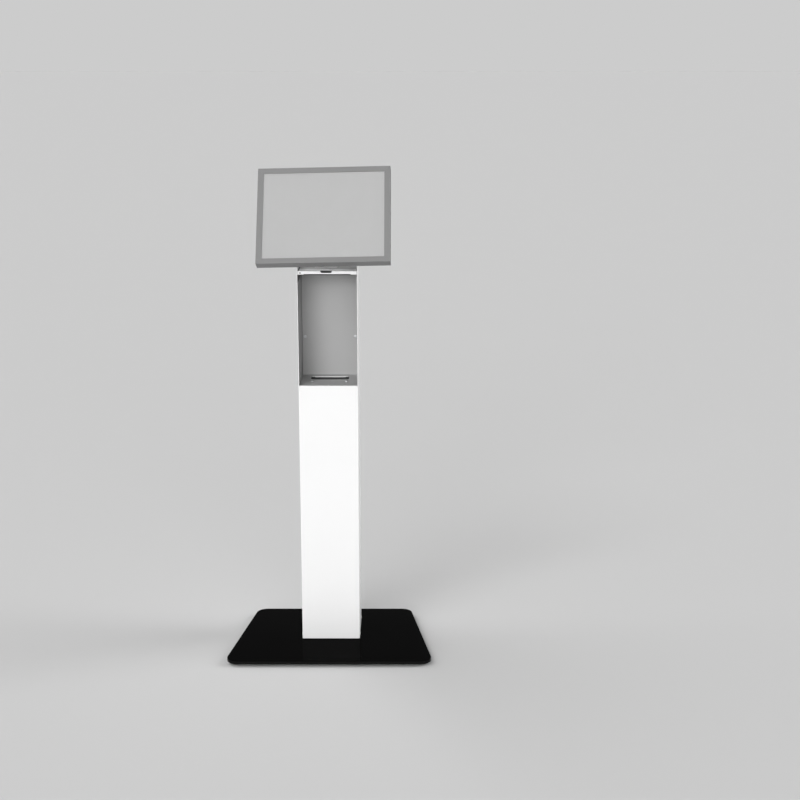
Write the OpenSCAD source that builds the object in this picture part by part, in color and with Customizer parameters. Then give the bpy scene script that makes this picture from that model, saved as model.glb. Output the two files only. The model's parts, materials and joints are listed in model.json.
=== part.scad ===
// Floor-standing tablet kiosk: a weighted plate, a folded sheet column with an
// open niche, and a tablet head that tilts and swivels on a neck at the top.
// Millimetres. +Z is up, the front faces -Y, and the floor is z = 0 under the
// middle of the base plate.

/* [Base plate] */
// Width of the base plate along its front edge
plate_front_w = 464; // [360:1:560]
// Width of the base plate along its back edge
plate_back_w = 368; // [300:1:460]
// Depth of the base plate, front to back
plate_depth = 315; // [270:1:400]
// Thickness of the base plate
plate_t = 8; // [6:0.5:15]
// Radius of the base plate's four corners
plate_corner_r = 25; // [8:1:45]
// Diameter of each rubber foot
foot_d = 28; // [20:1:40]
// Height of each rubber foot
foot_h = 5.5; // [5:0.5:12]
// Distance from the plate's edges to a foot's centre
foot_inset = 36; // [26:1:60]

/* [Column] */
// Width of the column across the front
column_w = 132; // [120:1:180]
// Depth of the column, front to back
column_depth = 127; // [112:1:170]
// Length of base plate that shows in front of the column
column_front_gap = 126.5; // [90:0.5:150]
// Thickness of the column's folded sheet
sheet_t = 1.5; // [1.2:0.1:3]
// Outer radius of the column's two front folds
fold_r = 2; // [2:0.1:6]
// Gap between the base plate and the lower edges of the column and its rear cover
column_foot_gap = 1.2; // [0.4:0.1:3]
// Height of the closed lower part, from the base plate to the niche floor
lower_h = 598; // [420:1:760]
// Clear height of the niche, from its floor to the lip
niche_h = 248.5; // [180:0.5:320]
// Gap between the niche's back panel, with its two lugs, and the column's rear folds
niche_back_gap = 2; // [1:0.5:16]
// Height of the lip that the top plate folds down at the front
lip_h = 6.5; // [5:0.1:12]
// Height of the side walls above the top plate
wall_rise = 11.5; // [4:0.5:20]
// Width of the fold along each rear edge of the column
return_w = 14; // [11:0.5:24]

/* [Niche details] */
// Width of the cable cut-out in the niche floor
cutout_w = 86; // [40:1:96]
// Depth of the cable cut-out in the niche floor
cutout_d = 34.5; // [24:0.5:42]
// Corner radius of the cable cut-out
cutout_r = 8; // [3:0.5:14]
// Distance from the column's front to the cable cut-out
cutout_back = 66.5; // [48:0.5:72]
// Height of the down-turned lip along the cut-out's far edge, with the sheet
cutout_lip_h = 2.7; // [2.5:0.1:6]
// Spacing of the two screws in front of the cable cut-out
shelf_screw_spacing = 76; // [60:1:96]
// Diameter of the locating hole near the niche floor's front edge
locating_hole_d = 4; // [3:0.5:6]
// Height of the back panel's two screws above the niche floor
panel_screw_rise = 88.5; // [40:0.5:140]
// Distance from the side wall to a back panel screw
panel_screw_inset = 7; // [6:0.5:9]
// Width of the hook slot at the lip's upper bend
slot_w = 26; // [16:1:40]
// Height of the hook slot on the lip
slot_h = 4.2; // [2:0.1:5]
// Sideways place of the hook slot's centre
slot_x = -2; // [-10:0.5:10]
// Width of the tab at each end of the lip
tab_w = 13; // [8:0.5:20]
// How far each tab hangs below the lip
tab_drop = 1.1; // [0.6:0.1:5]

/* [Neck and hinges] */
// Sideways shift of the neck on its slotted holes
neck_shift = -5; // [-6:0.1:6]
// Height of the tilt axis above the top plate
pivot_rise = 87.2; // [80:0.1:120]
// Distance from the column's front to the tilt axis
pivot_back = 70; // [60:0.5:76]
// Clear width between the neck's two cheeks
neck_gap = 44; // [38:0.5:56]
// Sheet thickness of the neck and the head bracket
bracket_t = 3; // [2.5:0.5:5]
// Depth of the neck's foot on the top plate
neck_foot_d = 40; // [34:1:48]
// Radius of the rounded top of each neck cheek
cheek_r = 13; // [11:0.5:16]
// Diameter of the tilt pin and of the swivel pin
pin_d = 8; // [6:0.5:10]
// Distance from the tilt axis forward to the swivel axis
swivel_forward = 18; // [16:0.5:20]
// Thickness of each friction washer
washer_t = 1; // [0.6:0.1:2]

/* [Head] */
// Gap between the tablet's side edges and the head's sheet
tablet_side_gap = 3; // [2.5:0.1:12]
// Gap between the tablet's top and bottom edges and the head's sheet
tablet_end_gap = 2.75; // [2.5:0.05:12]
// Thickness of the tablet head
head_t = 24.5; // [23:0.5:34]
// Lean of the screen back from upright, in degrees
head_lean = 29; // [24:0.5:40]
// Turn of the head about its own upright axis, in degrees
head_turn = -3; // [-6:0.1:6]
// Distance from the tilt axis to the head's back
head_gap = 38; // [36:0.5:50]
// Height of the head's middle above the tilt axis, along its face
head_lift = 3.8; // [-10:0.1:15]
// Thickness of the head's sheet
head_sheet_t = 1.5; // [1:0.1:2]
// Spacing of the square screw pattern on the head's back
vesa_spacing = 75; // [50:1:100]

/* [Tablet] */
// Width of the tablet
tablet_w = 281; // [240:0.5:320]
// Height of the tablet
tablet_h = 214; // [190:0.5:250]
// Thickness of the tablet's metal body
tablet_t = 5.6; // [5:0.1:8]
// Dark border beside the lit part of the screen
screen_side_border = 8.55; // [6.5:0.05:20]
// Dark border above and below the lit part of the screen
screen_end_border = 8; // [6.5:0.05:20]
// Thickness of the tablet's cover glass
glass_t = 0.8; // [0.5:0.1:1.2]
// Travel of each tablet button
button_travel = 0.3; // [0.2:0.05:0.5]

/* [Hidden] */

$fn = 48;
// Small overlap that lets a cut pass fully through a face
eps = 0.5;
// Gap between sheets that lie beside each other without touching
sheet_gap = 0.5;
// Radial clearance of a pin that turns in its hole
run_fit = 0.05;
// Radial clearance of a screw in its thread
thread_fit = 0.05;
// Radial clearance of a screw that passes through a plain hole
hole_fit = 0.4;
// Depth of a stiffening fold on the shelf, the rail and the top plate
fold_h = 15;
// Setback of a fold's ends from the sheet's corners
fold_setback = 6;
// Smallest inner radius of a fold
least_fold_r = 0.3;
// Length of a screw that stands out past its last thread
screw_end = 1.5;
// Length of a bolt that stands out past its nut
bolt_end = 2;

// Heights above the floor
plate_top_z = foot_h + plate_t;
column_foot_z = plate_top_z + column_foot_gap;
niche_floor_z = plate_top_z + lower_h;
lip_bottom_z = niche_floor_z + niche_h;
top_plate_z = lip_bottom_z + lip_h;
wall_top_z = top_plate_z + wall_rise;
pivot_z = top_plate_z + pivot_rise;

// The column's places
column_front_y = column_front_gap - plate_depth / 2;
inner_w = column_w - 2 * sheet_t;
rear_cover_y = column_depth - sheet_t;
return_y = rear_cover_y - sheet_t;
plain_w = inner_w - 2 * sheet_gap;

// Screw sizes: shank radius, head radius and head height of each kind
m3_shank_r = 1.5;
m3_head_r = 2.75;
m3_head_h = 1.2;
m4_shank_r = 2;
m4_head_r = 3.6;
m4_head_h = 2;
m5_shank_r = 2.5;
m5_head_r = 4.8;
m5_head_h = 2.5;
m6_shank_r = 3;
m6_head_r = 5.2;
m6_head_h = 3.2;
m8_shank_r = 4;
m8_head_r = 7.5;
m8_head_h = 4.2;
m3 = [m3_shank_r, m3_head_r, m3_head_h];
m4 = [m4_shank_r, m4_head_r, m4_head_h];
m5 = [m5_shank_r, m5_head_r, m5_head_h];
m6 = [m6_shank_r, m6_head_r, m6_head_h];
m8 = [m8_shank_r, m8_head_r, m8_head_h];
// Hexagon nuts: width across flats and height of each kind
m6_nut_w = 10;
m6_nut_h = 5;
m8_nut_w = 13;
m8_nut_h = 6.5;
nut_washer_t = 1.6;

// The foot bracket and the bolts that hold it down
foot_bracket_t = 3;
foot_bracket_h = 30;
foot_flange_setback = 4;
foot_screw_edge = 6;
// Metal left above the blind holes that hold the rubber feet
foot_hole_floor = 1;
foot_bracket_front = sheet_t + sheet_gap;
foot_bracket_back = return_y - sheet_gap;
foot_bracket_mid = (foot_bracket_front + foot_bracket_back) / 2;
foot_flange_d = foot_bracket_back - foot_bracket_front - 2 * foot_flange_setback;
base_bolt_inset = 24;
base_bolt_x = inner_w / 2 - base_bolt_inset;
base_bolt_y = 32;
bracket_hole_d = 36;
foot_screw_rise = 9;
foot_screw_y = foot_flange_d / 2 - foot_screw_edge;
foot_screw_head_h = 1;

// The rear cover
// Sideways shift of the cover's screws from the middle of the rear folds
cover_screw_shift = 1;
cover_screw_x = inner_w / 2 - return_w / 2 + cover_screw_shift;
cover_screw_margin = 38;
cover_h = wall_top_z - column_foot_z;
grommet_rise = 47;
grommet_hole_r = 11;
grommet_bore_r = 7;
// Radial clearance of a grommet's groove in its hole
grommet_fit = 0.1;
grommet_flange_w = 3;
grommet_flange_t = 2;

// The niche
niche_depth = return_y - 2 * sheet_t - niche_back_gap;
shelf_depth = niche_depth - sheet_t;
// Distance from the cable cut-out's edge to the screws in front of it
rail_setback = 23;
rail_y = cutout_back - rail_setback;
rail_w = 10;
lug_h = 20;
panel_screw_z = niche_floor_z + panel_screw_rise;
panel_screw_x = inner_w / 2 - panel_screw_inset;
locating_hole_y = 7;
lip_hole_inset = 5.9;
lip_hole_x = inner_w / 2 - lip_hole_inset;
lip_hole_r = 1.6;
// How far the lip's small hole lies below the lip's middle
lip_hole_drop = 1;
slot_back = 8;
cable_notch_w = 40;
top_fold_r = 3.5;
// Distance from the column's front to the top plate's side folds
side_fold_y = 14;
top_plate_back = return_y;

// The neck
neck_w = neck_gap + 2 * bracket_t;
neck_bolt_inset = 8;
neck_bolt_x = neck_gap / 2 - neck_bolt_inset;
neck_bolt_y = neck_foot_d / 2 - neck_bolt_inset;
neck_slot_l = 18;
neck_center_y = pivot_back;
neck_cable_hole_r = 6;
lightening_r = 10;
// How far the round hole in each cheek lies below the cheek's middle
lightening_drop = 4;
// Radius and height of the round head of a hinge pin
pin_head_r = 0.8 * pin_d;
tilt_pin_head_h = 5;
swivel_pin_head_h = 4;

// The hinge block
block_w = neck_gap - 2 * washer_t;
block_h = 28;
block_r = 12;
swivel_nose = 9;
block_front = swivel_forward + swivel_nose;
ear_w = 30;
ear_nose_r = 10;
// Setback of the friction washers from the cheeks' rounded edge
friction_inset = 1;
friction_r = cheek_r - friction_inset;
// Distance from a screw's centre to the edge of the head bracket's plate
vesa_edge = 8.5;
plate_side = vesa_spacing + 2 * vesa_edge;

// The head, measured backward from the tilt axis along its own face normal
head_w = tablet_w + 2 * (tablet_side_gap + head_sheet_t);
head_h = tablet_h + 2 * (tablet_end_gap + head_sheet_t);
screen_w = tablet_w - 2 * screen_side_border;
screen_h = tablet_h - 2 * screen_end_border;
bezel_t = head_sheet_t;
shell_back_y = -head_gap;
head_front_y = shell_back_y - head_t;
shell_front_y = head_front_y + bezel_t;
glass_y = shell_front_y;
tablet_front_y = glass_y + glass_t;
tablet_back_y = tablet_front_y + tablet_t;
pad_t = 3;
tray_t = 1.5;
tray_front_y = tablet_back_y + pad_t;
tray_back_y = tray_front_y + tray_t;
shell_inner_y = shell_back_y - head_sheet_t;
standoff_l = shell_inner_y - tray_back_y;
standoff_r = 4;
tray_margin = 9;
bezel_return_h = 8;
bezel_screw_side_inset = 60;
bezel_screw_end_inset = 36;
bezel_screw_setback = 5;
bezel_screw_x = head_w / 2 - bezel_screw_side_inset;
bezel_screw_z = head_h / 2 - bezel_screw_end_inset;
bezel_screw_y = shell_front_y + bezel_screw_setback;
// Distance from the head bracket's lower edge down to the cable grommet's centre
head_grommet_gap = 18;
head_grommet_drop = plate_side / 2 + head_grommet_gap;
head_grommet_r = 8;
head_grommet_bore_r = 5;

// The tablet's inside
tablet_wall = 2;
tablet_floor = 1;
tablet_corner_r = 12;
panel_t = 1.5;
panel_border = 2;
pocket_w = tablet_w - 2 * tablet_wall;
pocket_h = tablet_h - 2 * tablet_wall;
battery_side_gap = 6;
battery_end_gap = 45;
battery_t = 2.6;
board_w = 60;
board_side_gap = 12;
board_end_gap = 30;
board_t = 1.6;
// Gap between the battery and the circuit board
battery_board_gap = 19;
battery_w = pocket_w - battery_side_gap - battery_board_gap - board_w - board_side_gap;
battery_h = pocket_h - 2 * battery_end_gap;
board_h = pocket_h - 2 * board_end_gap;
// How much smaller the cover glass is than the tablet, on each side
glass_setback = 0.5;
pad_side = 30;
// Distance from the tray's edges to a foam pad
pad_setback = 1;
button_mid_y = (tablet_front_y + tablet_back_y) / 2;
power_w = 12;
volume_w = 14;
button_h = 2;
button_fit = 0.2;
button_lip = 1.2;
button_lip_t = 0.8;
power_inset = 34;
power_x = tablet_w / 2 - power_inset;
volume_inset = 34;
volume_z = tablet_h / 2 - volume_inset;
volume_pitch = 18;

// Points where the rounded corners of a closed outline start and end
function unit(v) = v / norm(v);
function corner_angle(a, b, c) = acos(unit(a - b) * unit(c - b));
function setback(a, b, c, r) = r / tan(corner_angle(a, b, c) / 2);
function bisector(a, b, c) = unit(unit(a - b) + unit(c - b));
function corner_centre(a, b, c, r) =
    b + bisector(a, b, c) * r / sin(corner_angle(a, b, c) / 2);

module rounded_outline(points, r) {
    n = len(points);
    polygon([
        for (i = [0 : n - 1])
            let (a = points[(i + n - 1) % n], b = points[i], c = points[(i + 1) % n])
            for (toward = [a, c])
                b + unit(toward - b) * setback(a, b, c, r)
    ]);
    for (i = [0 : n - 1])
        translate(corner_centre(points[(i + n - 1) % n], points[i], points[(i + 1) % n], r))
            circle(r = r);
}

module rounded_rect(w, h, r) {
    square([w - 2 * r, h], center = true);
    square([w, h - 2 * r], center = true);
    for (x = [-1, 1], y = [-1, 1])
        translate([x * (w / 2 - r), y * (h / 2 - r)])
            circle(r = r);
}

// A slot along X, centred, with round ends
module slot(l, r) {
    square([l - 2 * r, 2 * r], center = true);
    for (side = [-1, 1])
        translate([side * (l / 2 - r), 0])
            circle(r = r);
}

// Children are drawn with y measured back from the column's front
module in_column() {
    translate([0, column_front_y, 0])
        children();
}

// Children are drawn about the tilt axis, with the head's own y and z
module in_tilt() {
    in_column()
        translate([neck_shift, pivot_back, pivot_z])
            rotate([-head_lean, 0, 0])
                children();
}

// Children are drawn in the head's frame, turned about the swivel axis
module in_head() {
    in_tilt()
        translate([0, -swivel_forward, 0])
            rotate([0, 0, head_turn])
                translate([0, swivel_forward, 0])
                    children();
}

// A plate that lies across the head's y axis, front face at y
module head_sheet(y, t) {
    translate([0, y + t, head_lift])
        rotate([90, 0, 0])
            linear_extrude(t)
                children();
}

// A pan-head screw whose head sits on z = 0 and whose shank goes down
module pan_screw(size, l) {
    cylinder(r = size[1], h = size[2]);
    translate([0, 0, -l])
        cylinder(r = size[0], h = l);
}

// A countersunk screw whose flat top is at z = 0 and whose shank goes down
module flat_screw(size, l) {
    translate([0, 0, -size[2]])
        cylinder(r1 = size[0], r2 = size[1], h = size[2]);
    translate([0, 0, -l])
        cylinder(r = size[0], h = l - size[2]);
}

// The countersunk hole that a flat screw drops into
module flat_hole(size, l) {
    translate([0, 0, -size[2]])
        cylinder(r1 = size[0] + hole_fit, r2 = size[1] + hole_fit, h = size[2]);
    translate([0, 0, -l])
        cylinder(r = size[0] + hole_fit, h = l);
    cylinder(r = size[1] + hole_fit, h = eps);
}

// A hexagon nut on z = 0, given its width across flats
module hex_nut(w, h, bore_r) {
    difference() {
        cylinder(d = w / cos(30), h = h, $fn = 6);
        translate([0, 0, -eps])
            cylinder(r = bore_r, h = h + 2 * eps);
    }
}

module ring(outer_r, inner_r, h) {
    difference() {
        cylinder(r = outer_r, h = h);
        translate([0, 0, -eps])
            cylinder(r = inner_r, h = h + 2 * eps);
    }
}

// A rubber grommet along z, seated in a sheet whose lower face is at z = 0
module grommet(hole_r, bore_r, seat_t) {
    ring(hole_r - grommet_fit, bore_r, seat_t);
    for (z = [-grommet_flange_t, seat_t])
        translate([0, 0, z])
            ring(hole_r + grommet_flange_w, bore_r, grommet_flange_t);
}

// Base
function plate_half_w(y) =
    plate_front_w / 2 - (plate_front_w - plate_back_w) / 2 * (y / plate_depth + 0.5);

foot_y = plate_depth / 2 - foot_inset;

module at_feet() {
    for (x = [-1, 1], y = [-foot_y, foot_y])
        translate([x * (plate_half_w(y) - foot_inset), y, 0])
            children();
}

module at_base_bolts() {
    in_column()
        for (x = [-1, 1], y = [-1, 1])
            translate([x * base_bolt_x, foot_bracket_mid + y * base_bolt_y, 0])
                children();
}

foot_screw_recess = 1.5;
foot_screw_l = foot_h - foot_screw_recess + plate_t - foot_hole_floor - eps;

module base_plate() {
    color([0.08, 0.08, 0.09])
        difference() {
            translate([0, 0, foot_h])
                linear_extrude(plate_t)
                    rounded_outline([
                        [-plate_front_w / 2, -plate_depth / 2],
                        [plate_front_w / 2, -plate_depth / 2],
                        [plate_back_w / 2, plate_depth / 2],
                        [-plate_back_w / 2, plate_depth / 2]
                    ], plate_corner_r);
            at_feet()
                translate([0, 0, foot_h - eps])
                    cylinder(r = m5[0] + thread_fit, h = plate_t - foot_hole_floor + eps);
            at_base_bolts()
                translate([0, 0, foot_h])
                    rotate([180, 0, 0])
                        flat_hole(m8, plate_t + eps);
            in_column()
                translate([0, foot_bracket_mid, foot_h - eps])
                    cylinder(d = bracket_hole_d, h = plate_t + 2 * eps);
        }
}

module rubber_feet() {
    color([0.05, 0.05, 0.05])
        at_feet()
            difference() {
                cylinder(d = foot_d, h = foot_h);
                translate([0, 0, foot_screw_recess])
                    rotate([180, 0, 0])
                        flat_hole(m5, foot_h);
                translate([0, 0, -eps])
                    cylinder(r = m5[1] + hole_fit, h = foot_screw_recess + eps);
            }
}

module foot_screws() {
    color([0.75, 0.75, 0.77])
        at_feet()
            translate([0, 0, foot_screw_recess])
                rotate([180, 0, 0])
                    flat_screw(m5, foot_screw_l);
}

module foot_bracket() {
    depth = foot_bracket_back - foot_bracket_front;
    color([0.6, 0.61, 0.63])
        in_column()
            difference() {
                union() {
                    translate([-plain_w / 2, foot_bracket_front, plate_top_z])
                        cube([plain_w, depth, foot_bracket_t]);
                    for (x = [-1, 1])
                        translate([
                            x * (plain_w - foot_bracket_t) / 2,
                            foot_bracket_mid,
                            plate_top_z + foot_bracket_h / 2
                        ])
                            cube([foot_bracket_t, foot_flange_d, foot_bracket_h], center = true);
                }
                translate([0, foot_bracket_mid, plate_top_z - eps])
                    cylinder(d = bracket_hole_d, h = foot_bracket_t + 2 * eps);
                for (x = [-1, 1], y = [-1, 1])
                    translate([x * base_bolt_x, foot_bracket_mid + y * base_bolt_y, plate_top_z - eps])
                        cylinder(r = m8[0] + hole_fit, h = foot_bracket_t + 2 * eps);
                for (y = [-1, 1])
                    translate([-column_w / 2, foot_bracket_mid + y * foot_screw_y,
                        plate_top_z + foot_screw_rise])
                        rotate([0, 90, 0])
                            cylinder(r = m4[0] + thread_fit, h = column_w);
            }
}

base_bolt_l = plate_t + foot_bracket_t + nut_washer_t + m8_nut_h + bolt_end;

module base_bolts() {
    color([0.75, 0.75, 0.77])
        at_base_bolts()
            translate([0, 0, foot_h])
                rotate([180, 0, 0])
                    flat_screw(m8, base_bolt_l);
}

module base_washers() {
    color([0.75, 0.75, 0.77])
        at_base_bolts()
            translate([0, 0, plate_top_z + foot_bracket_t])
                ring(2 * m8[0], m8[0] + hole_fit, nut_washer_t);
}

module base_nuts() {
    color([0.75, 0.75, 0.77])
        at_base_bolts()
            translate([0, 0, plate_top_z + foot_bracket_t + nut_washer_t])
                hex_nut(m8_nut_w, m8_nut_h, m8[0] + thread_fit);
}

// Column
module column_profile() {
    inner_fold_r = max(fold_r - sheet_t, least_fold_r);
    difference() {
        union() {
            translate([-column_w / 2, fold_r])
                square([column_w, rear_cover_y - fold_r]);
            translate([-column_w / 2 + fold_r, 0])
                square([column_w - 2 * fold_r, fold_r]);
            for (x = [-1, 1])
                translate([x * (column_w / 2 - fold_r), fold_r])
                    circle(r = fold_r);
        }
        translate([-inner_w / 2, sheet_t + inner_fold_r])
            square([inner_w, column_depth]);
        translate([-inner_w / 2 + inner_fold_r, sheet_t])
            square([inner_w - 2 * inner_fold_r, 2 * inner_fold_r]);
        for (x = [-1, 1])
            translate([x * (inner_w / 2 - inner_fold_r), sheet_t + inner_fold_r])
                circle(r = inner_fold_r);
    }
}

module column_shell() {
    color([0.95, 0.95, 0.95])
        in_column()
            difference() {
                union() {
                    translate([0, 0, column_foot_z])
                        linear_extrude(wall_top_z - column_foot_z)
                            column_profile();
                    for (x = [-1, 1]) {
                        translate([x * (inner_w - return_w) / 2, return_y + sheet_t / 2,
                            (column_foot_z + wall_top_z) / 2])
                            cube([return_w + sheet_gap, sheet_t, wall_top_z - column_foot_z], center = true);
                        translate([x * (inner_w / 2 - panel_screw_inset + sheet_gap / 2),
                            niche_depth + 1.5 * sheet_t, panel_screw_z])
                            cube([2 * panel_screw_inset + sheet_gap, sheet_t, lug_h], center = true);
                    }
                }
                translate([-inner_w / 2, -eps, niche_floor_z])
                    cube([inner_w, sheet_t + fold_r, wall_top_z]);
                for (x = [-1, 1]) {
                    translate([x * panel_screw_x, niche_depth, panel_screw_z])
                        rotate([-90, 0, 0])
                            cylinder(r = m4[0] + thread_fit, h = 3 * sheet_t);
                    for (z = cover_screw_heights)
                        translate([x * cover_screw_x, return_y - eps, z])
                            rotate([-90, 0, 0])
                                cylinder(r = m4[0] + thread_fit, h = sheet_t + 2 * eps);
                }
                for (y = [-1, 1])
                    translate([-column_w / 2 - eps, foot_bracket_mid + y * foot_screw_y,
                        plate_top_z + foot_screw_rise])
                        rotate([0, 90, 0])
                            cylinder(r = m4[0] + hole_fit, h = column_w + 2 * eps);
            }
}

module column_foot_screws() {
    color([0.93, 0.93, 0.93])
        in_column()
            for (x = [-1, 1], y = [-1, 1])
                translate([x * column_w / 2, foot_bracket_mid + y * foot_screw_y,
                    plate_top_z + foot_screw_rise])
                    rotate([0, x * 90, 0])
                        pan_screw([m4[0], m4[1], foot_screw_head_h], sheet_t + foot_bracket_t + screw_end);
}

cover_screw_heights = [
    plate_top_z + cover_screw_margin,
    (plate_top_z + wall_top_z) / 2,
    wall_top_z - cover_screw_margin
];

module rear_cover() {
    color([0.94, 0.94, 0.94])
        in_column()
            difference() {
                translate([-column_w / 2, rear_cover_y, column_foot_z])
                    cube([column_w, sheet_t, cover_h]);
                for (x = [-1, 1], z = cover_screw_heights)
                    translate([x * cover_screw_x, rear_cover_y - eps, z])
                        rotate([-90, 0, 0])
                            cylinder(r = m4[0] + hole_fit, h = sheet_t + 2 * eps);
                translate([0, rear_cover_y - eps, plate_top_z + grommet_rise])
                    rotate([-90, 0, 0])
                        cylinder(r = grommet_hole_r, h = sheet_t + 2 * eps);
            }
}

module rear_cover_screws() {
    color([0.75, 0.75, 0.77])
        in_column()
            for (x = [-1, 1], z = cover_screw_heights)
                translate([x * cover_screw_x, column_depth, z])
                    rotate([-90, 0, 0])
                        pan_screw(m4, 2 * sheet_t + screw_end);
}

module cable_grommet() {
    color([0.06, 0.06, 0.06])
        in_column()
            translate([0, rear_cover_y, plate_top_z + grommet_rise])
                rotate([-90, 0, 0])
                    grommet(grommet_hole_r, grommet_bore_r, sheet_t);
}

// Niche
module niche_shelf() {
    color([0.94, 0.94, 0.94])
        in_column()
            difference() {
                union() {
                    translate([-plain_w / 2, sheet_t, niche_floor_z - sheet_t])
                        cube([plain_w, shelf_depth, sheet_t]);
                    for (y = [sheet_t, shelf_depth])
                        translate([-plain_w / 2 + fold_setback, y, niche_floor_z - fold_h])
                            cube([plain_w - 2 * fold_setback, sheet_t, fold_h]);
                    for (x = [-1, 1])
                        translate([x * (plain_w - sheet_t) / 2, sheet_t + shelf_depth / 2,
                            niche_floor_z - fold_h / 2])
                            cube([sheet_t, shelf_depth - 2 * fold_setback, fold_h], center = true);
                    translate([-cutout_w / 2 + cutout_r, cutout_back + cutout_d, niche_floor_z - cutout_lip_h])
                        cube([cutout_w - 2 * cutout_r, sheet_t, cutout_lip_h]);
                }
                translate([0, cutout_back + cutout_d / 2, niche_floor_z - sheet_t - eps])
                    linear_extrude(sheet_t + 2 * eps)
                        rounded_rect(cutout_w, cutout_d, cutout_r);
                for (x = [-1, 1])
                    translate([x * shelf_screw_spacing / 2, rail_y, niche_floor_z - sheet_t - eps])
                        cylinder(r = m4[0] + hole_fit, h = sheet_t + 2 * eps);
                translate([0, locating_hole_y, niche_floor_z - sheet_t - eps])
                    cylinder(d = locating_hole_d, h = sheet_t + 2 * eps);
            }
}

module shelf_rail() {
    rail_l = plain_w - 2 * sheet_t;
    color([0.9, 0.9, 0.9])
        in_column()
            difference() {
                translate([-rail_l / 2, rail_y - rail_w / 2, niche_floor_z - sheet_t - rail_w])
                    cube([rail_l, rail_w, rail_w]);
                translate([-rail_l / 2 - eps, rail_y - rail_w / 2 + sheet_t,
                    niche_floor_z - sheet_t - rail_w - eps])
                    cube([rail_l + 2 * eps, rail_w - 2 * sheet_t, rail_w - sheet_t + eps]);
                for (x = [-1, 1])
                    translate([x * shelf_screw_spacing / 2, rail_y, niche_floor_z - rail_w])
                        cylinder(r = m4[0] + thread_fit, h = rail_w);
            }
}

module shelf_screws() {
    color([0.8, 0.8, 0.82])
        in_column()
            for (x = [-1, 1])
                translate([x * shelf_screw_spacing / 2, rail_y, niche_floor_z])
                    pan_screw(m4, 2 * sheet_t + screw_end);
}

module niche_back_panel() {
    color([0.92, 0.92, 0.92])
        in_column()
            difference() {
                translate([-plain_w / 2, niche_depth, niche_floor_z - fold_h])
                    cube([plain_w, sheet_t, top_plate_z - sheet_t - niche_floor_z + fold_h]);
                for (x = [-1, 1])
                    translate([x * panel_screw_x, niche_depth - eps, panel_screw_z])
                        rotate([-90, 0, 0])
                            cylinder(r = m4[0] + hole_fit, h = sheet_t + 2 * eps);
            }
}

module niche_back_screws() {
    color([0.8, 0.8, 0.82])
        in_column()
            for (x = [-1, 1])
                translate([x * panel_screw_x, niche_depth, panel_screw_z])
                    rotate([90, 0, 0])
                        pan_screw(m4, 2 * sheet_t + screw_end);
}

module top_profile() {
    inner_fold_r = max(top_fold_r - sheet_t, least_fold_r);
    translate([-plain_w / 2 + top_fold_r, -sheet_t])
        square([plain_w - 2 * top_fold_r, sheet_t]);
    for (x = [-1, 1]) {
        translate([x * (plain_w - sheet_t) / 2, -(fold_h + top_fold_r) / 2])
            square([sheet_t, fold_h - top_fold_r], center = true);
        intersection() {
            translate([x * (plain_w / 2 - top_fold_r), -top_fold_r])
                difference() {
                    circle(r = top_fold_r);
                    circle(r = inner_fold_r);
                }
            translate([x * (plain_w - top_fold_r) / 2, -top_fold_r / 2])
                square(top_fold_r, center = true);
        }
    }
}

module top_plate() {
    color([0.94, 0.94, 0.94])
        in_column()
            difference() {
                union() {
                    translate([0, top_plate_back, top_plate_z])
                        rotate([90, 0, 0])
                            linear_extrude(top_plate_back - sheet_t)
                                top_profile();
                    translate([-plain_w / 2, 0, lip_bottom_z])
                        cube([plain_w, sheet_t, lip_h - sheet_t]);
                    intersection() {
                        translate([-plain_w / 2, sheet_t, top_plate_z - sheet_t])
                            rotate([0, 90, 0])
                                cylinder(r = sheet_t, h = plain_w);
                        translate([-plain_w / 2, 0, top_plate_z - sheet_t])
                            cube([plain_w, sheet_t, sheet_t]);
                    }
                    for (x = [-1, 1])
                        translate([x * (plain_w - tab_w) / 2, sheet_t / 2, lip_bottom_z - tab_drop / 2])
                            cube([tab_w, sheet_t, tab_drop], center = true);
                }
                translate([-plain_w / 2 - eps, sheet_t, top_plate_z - fold_h - eps])
                    cube([plain_w + 2 * eps, side_fold_y - sheet_t, fold_h - top_fold_r + eps]);
                translate([slot_x, slot_back, top_plate_z - slot_h])
                    rotate([90, 0, 0])
                        linear_extrude(slot_back + eps)
                            translate([0, slot_h])
                                slot(slot_w, slot_h);
                translate([-lip_hole_x, -eps, lip_bottom_z + lip_h / 2 - lip_hole_drop])
                    rotate([-90, 0, 0])
                        cylinder(r = lip_hole_r, h = sheet_t + 2 * eps);
                translate([-cable_notch_w / 2, niche_depth + sheet_t, top_plate_z - sheet_t - eps])
                    cube([cable_notch_w, top_plate_back, sheet_t + 2 * eps]);
                translate([-inner_w / 2, niche_depth - sheet_gap, top_plate_z - 2 * fold_h])
                    cube([inner_w, sheet_t + 2 * sheet_gap, 2 * fold_h - sheet_t]);
                at_neck_bolts()
                    translate([0, 0, top_plate_z - sheet_t - eps])
                        linear_extrude(sheet_t + 2 * eps)
                            slot(neck_slot_l, m6[0] + hole_fit);
            }
}

// Neck
module at_neck_bolts() {
    for (x = [-1, 1], y = [-1, 1])
        translate([x * neck_bolt_x, neck_center_y + y * neck_bolt_y, 0])
            children();
}

module cheek_outline() {
    difference() {
        union() {
            polygon([
                [-neck_foot_d / 2, 0],
                [neck_foot_d / 2, 0],
                [cheek_r, pivot_rise],
                [-cheek_r, pivot_rise]
            ]);
            translate([0, pivot_rise])
                circle(r = cheek_r);
        }
        translate([0, pivot_rise / 2 - lightening_drop])
            circle(r = lightening_r);
    }
}

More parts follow.
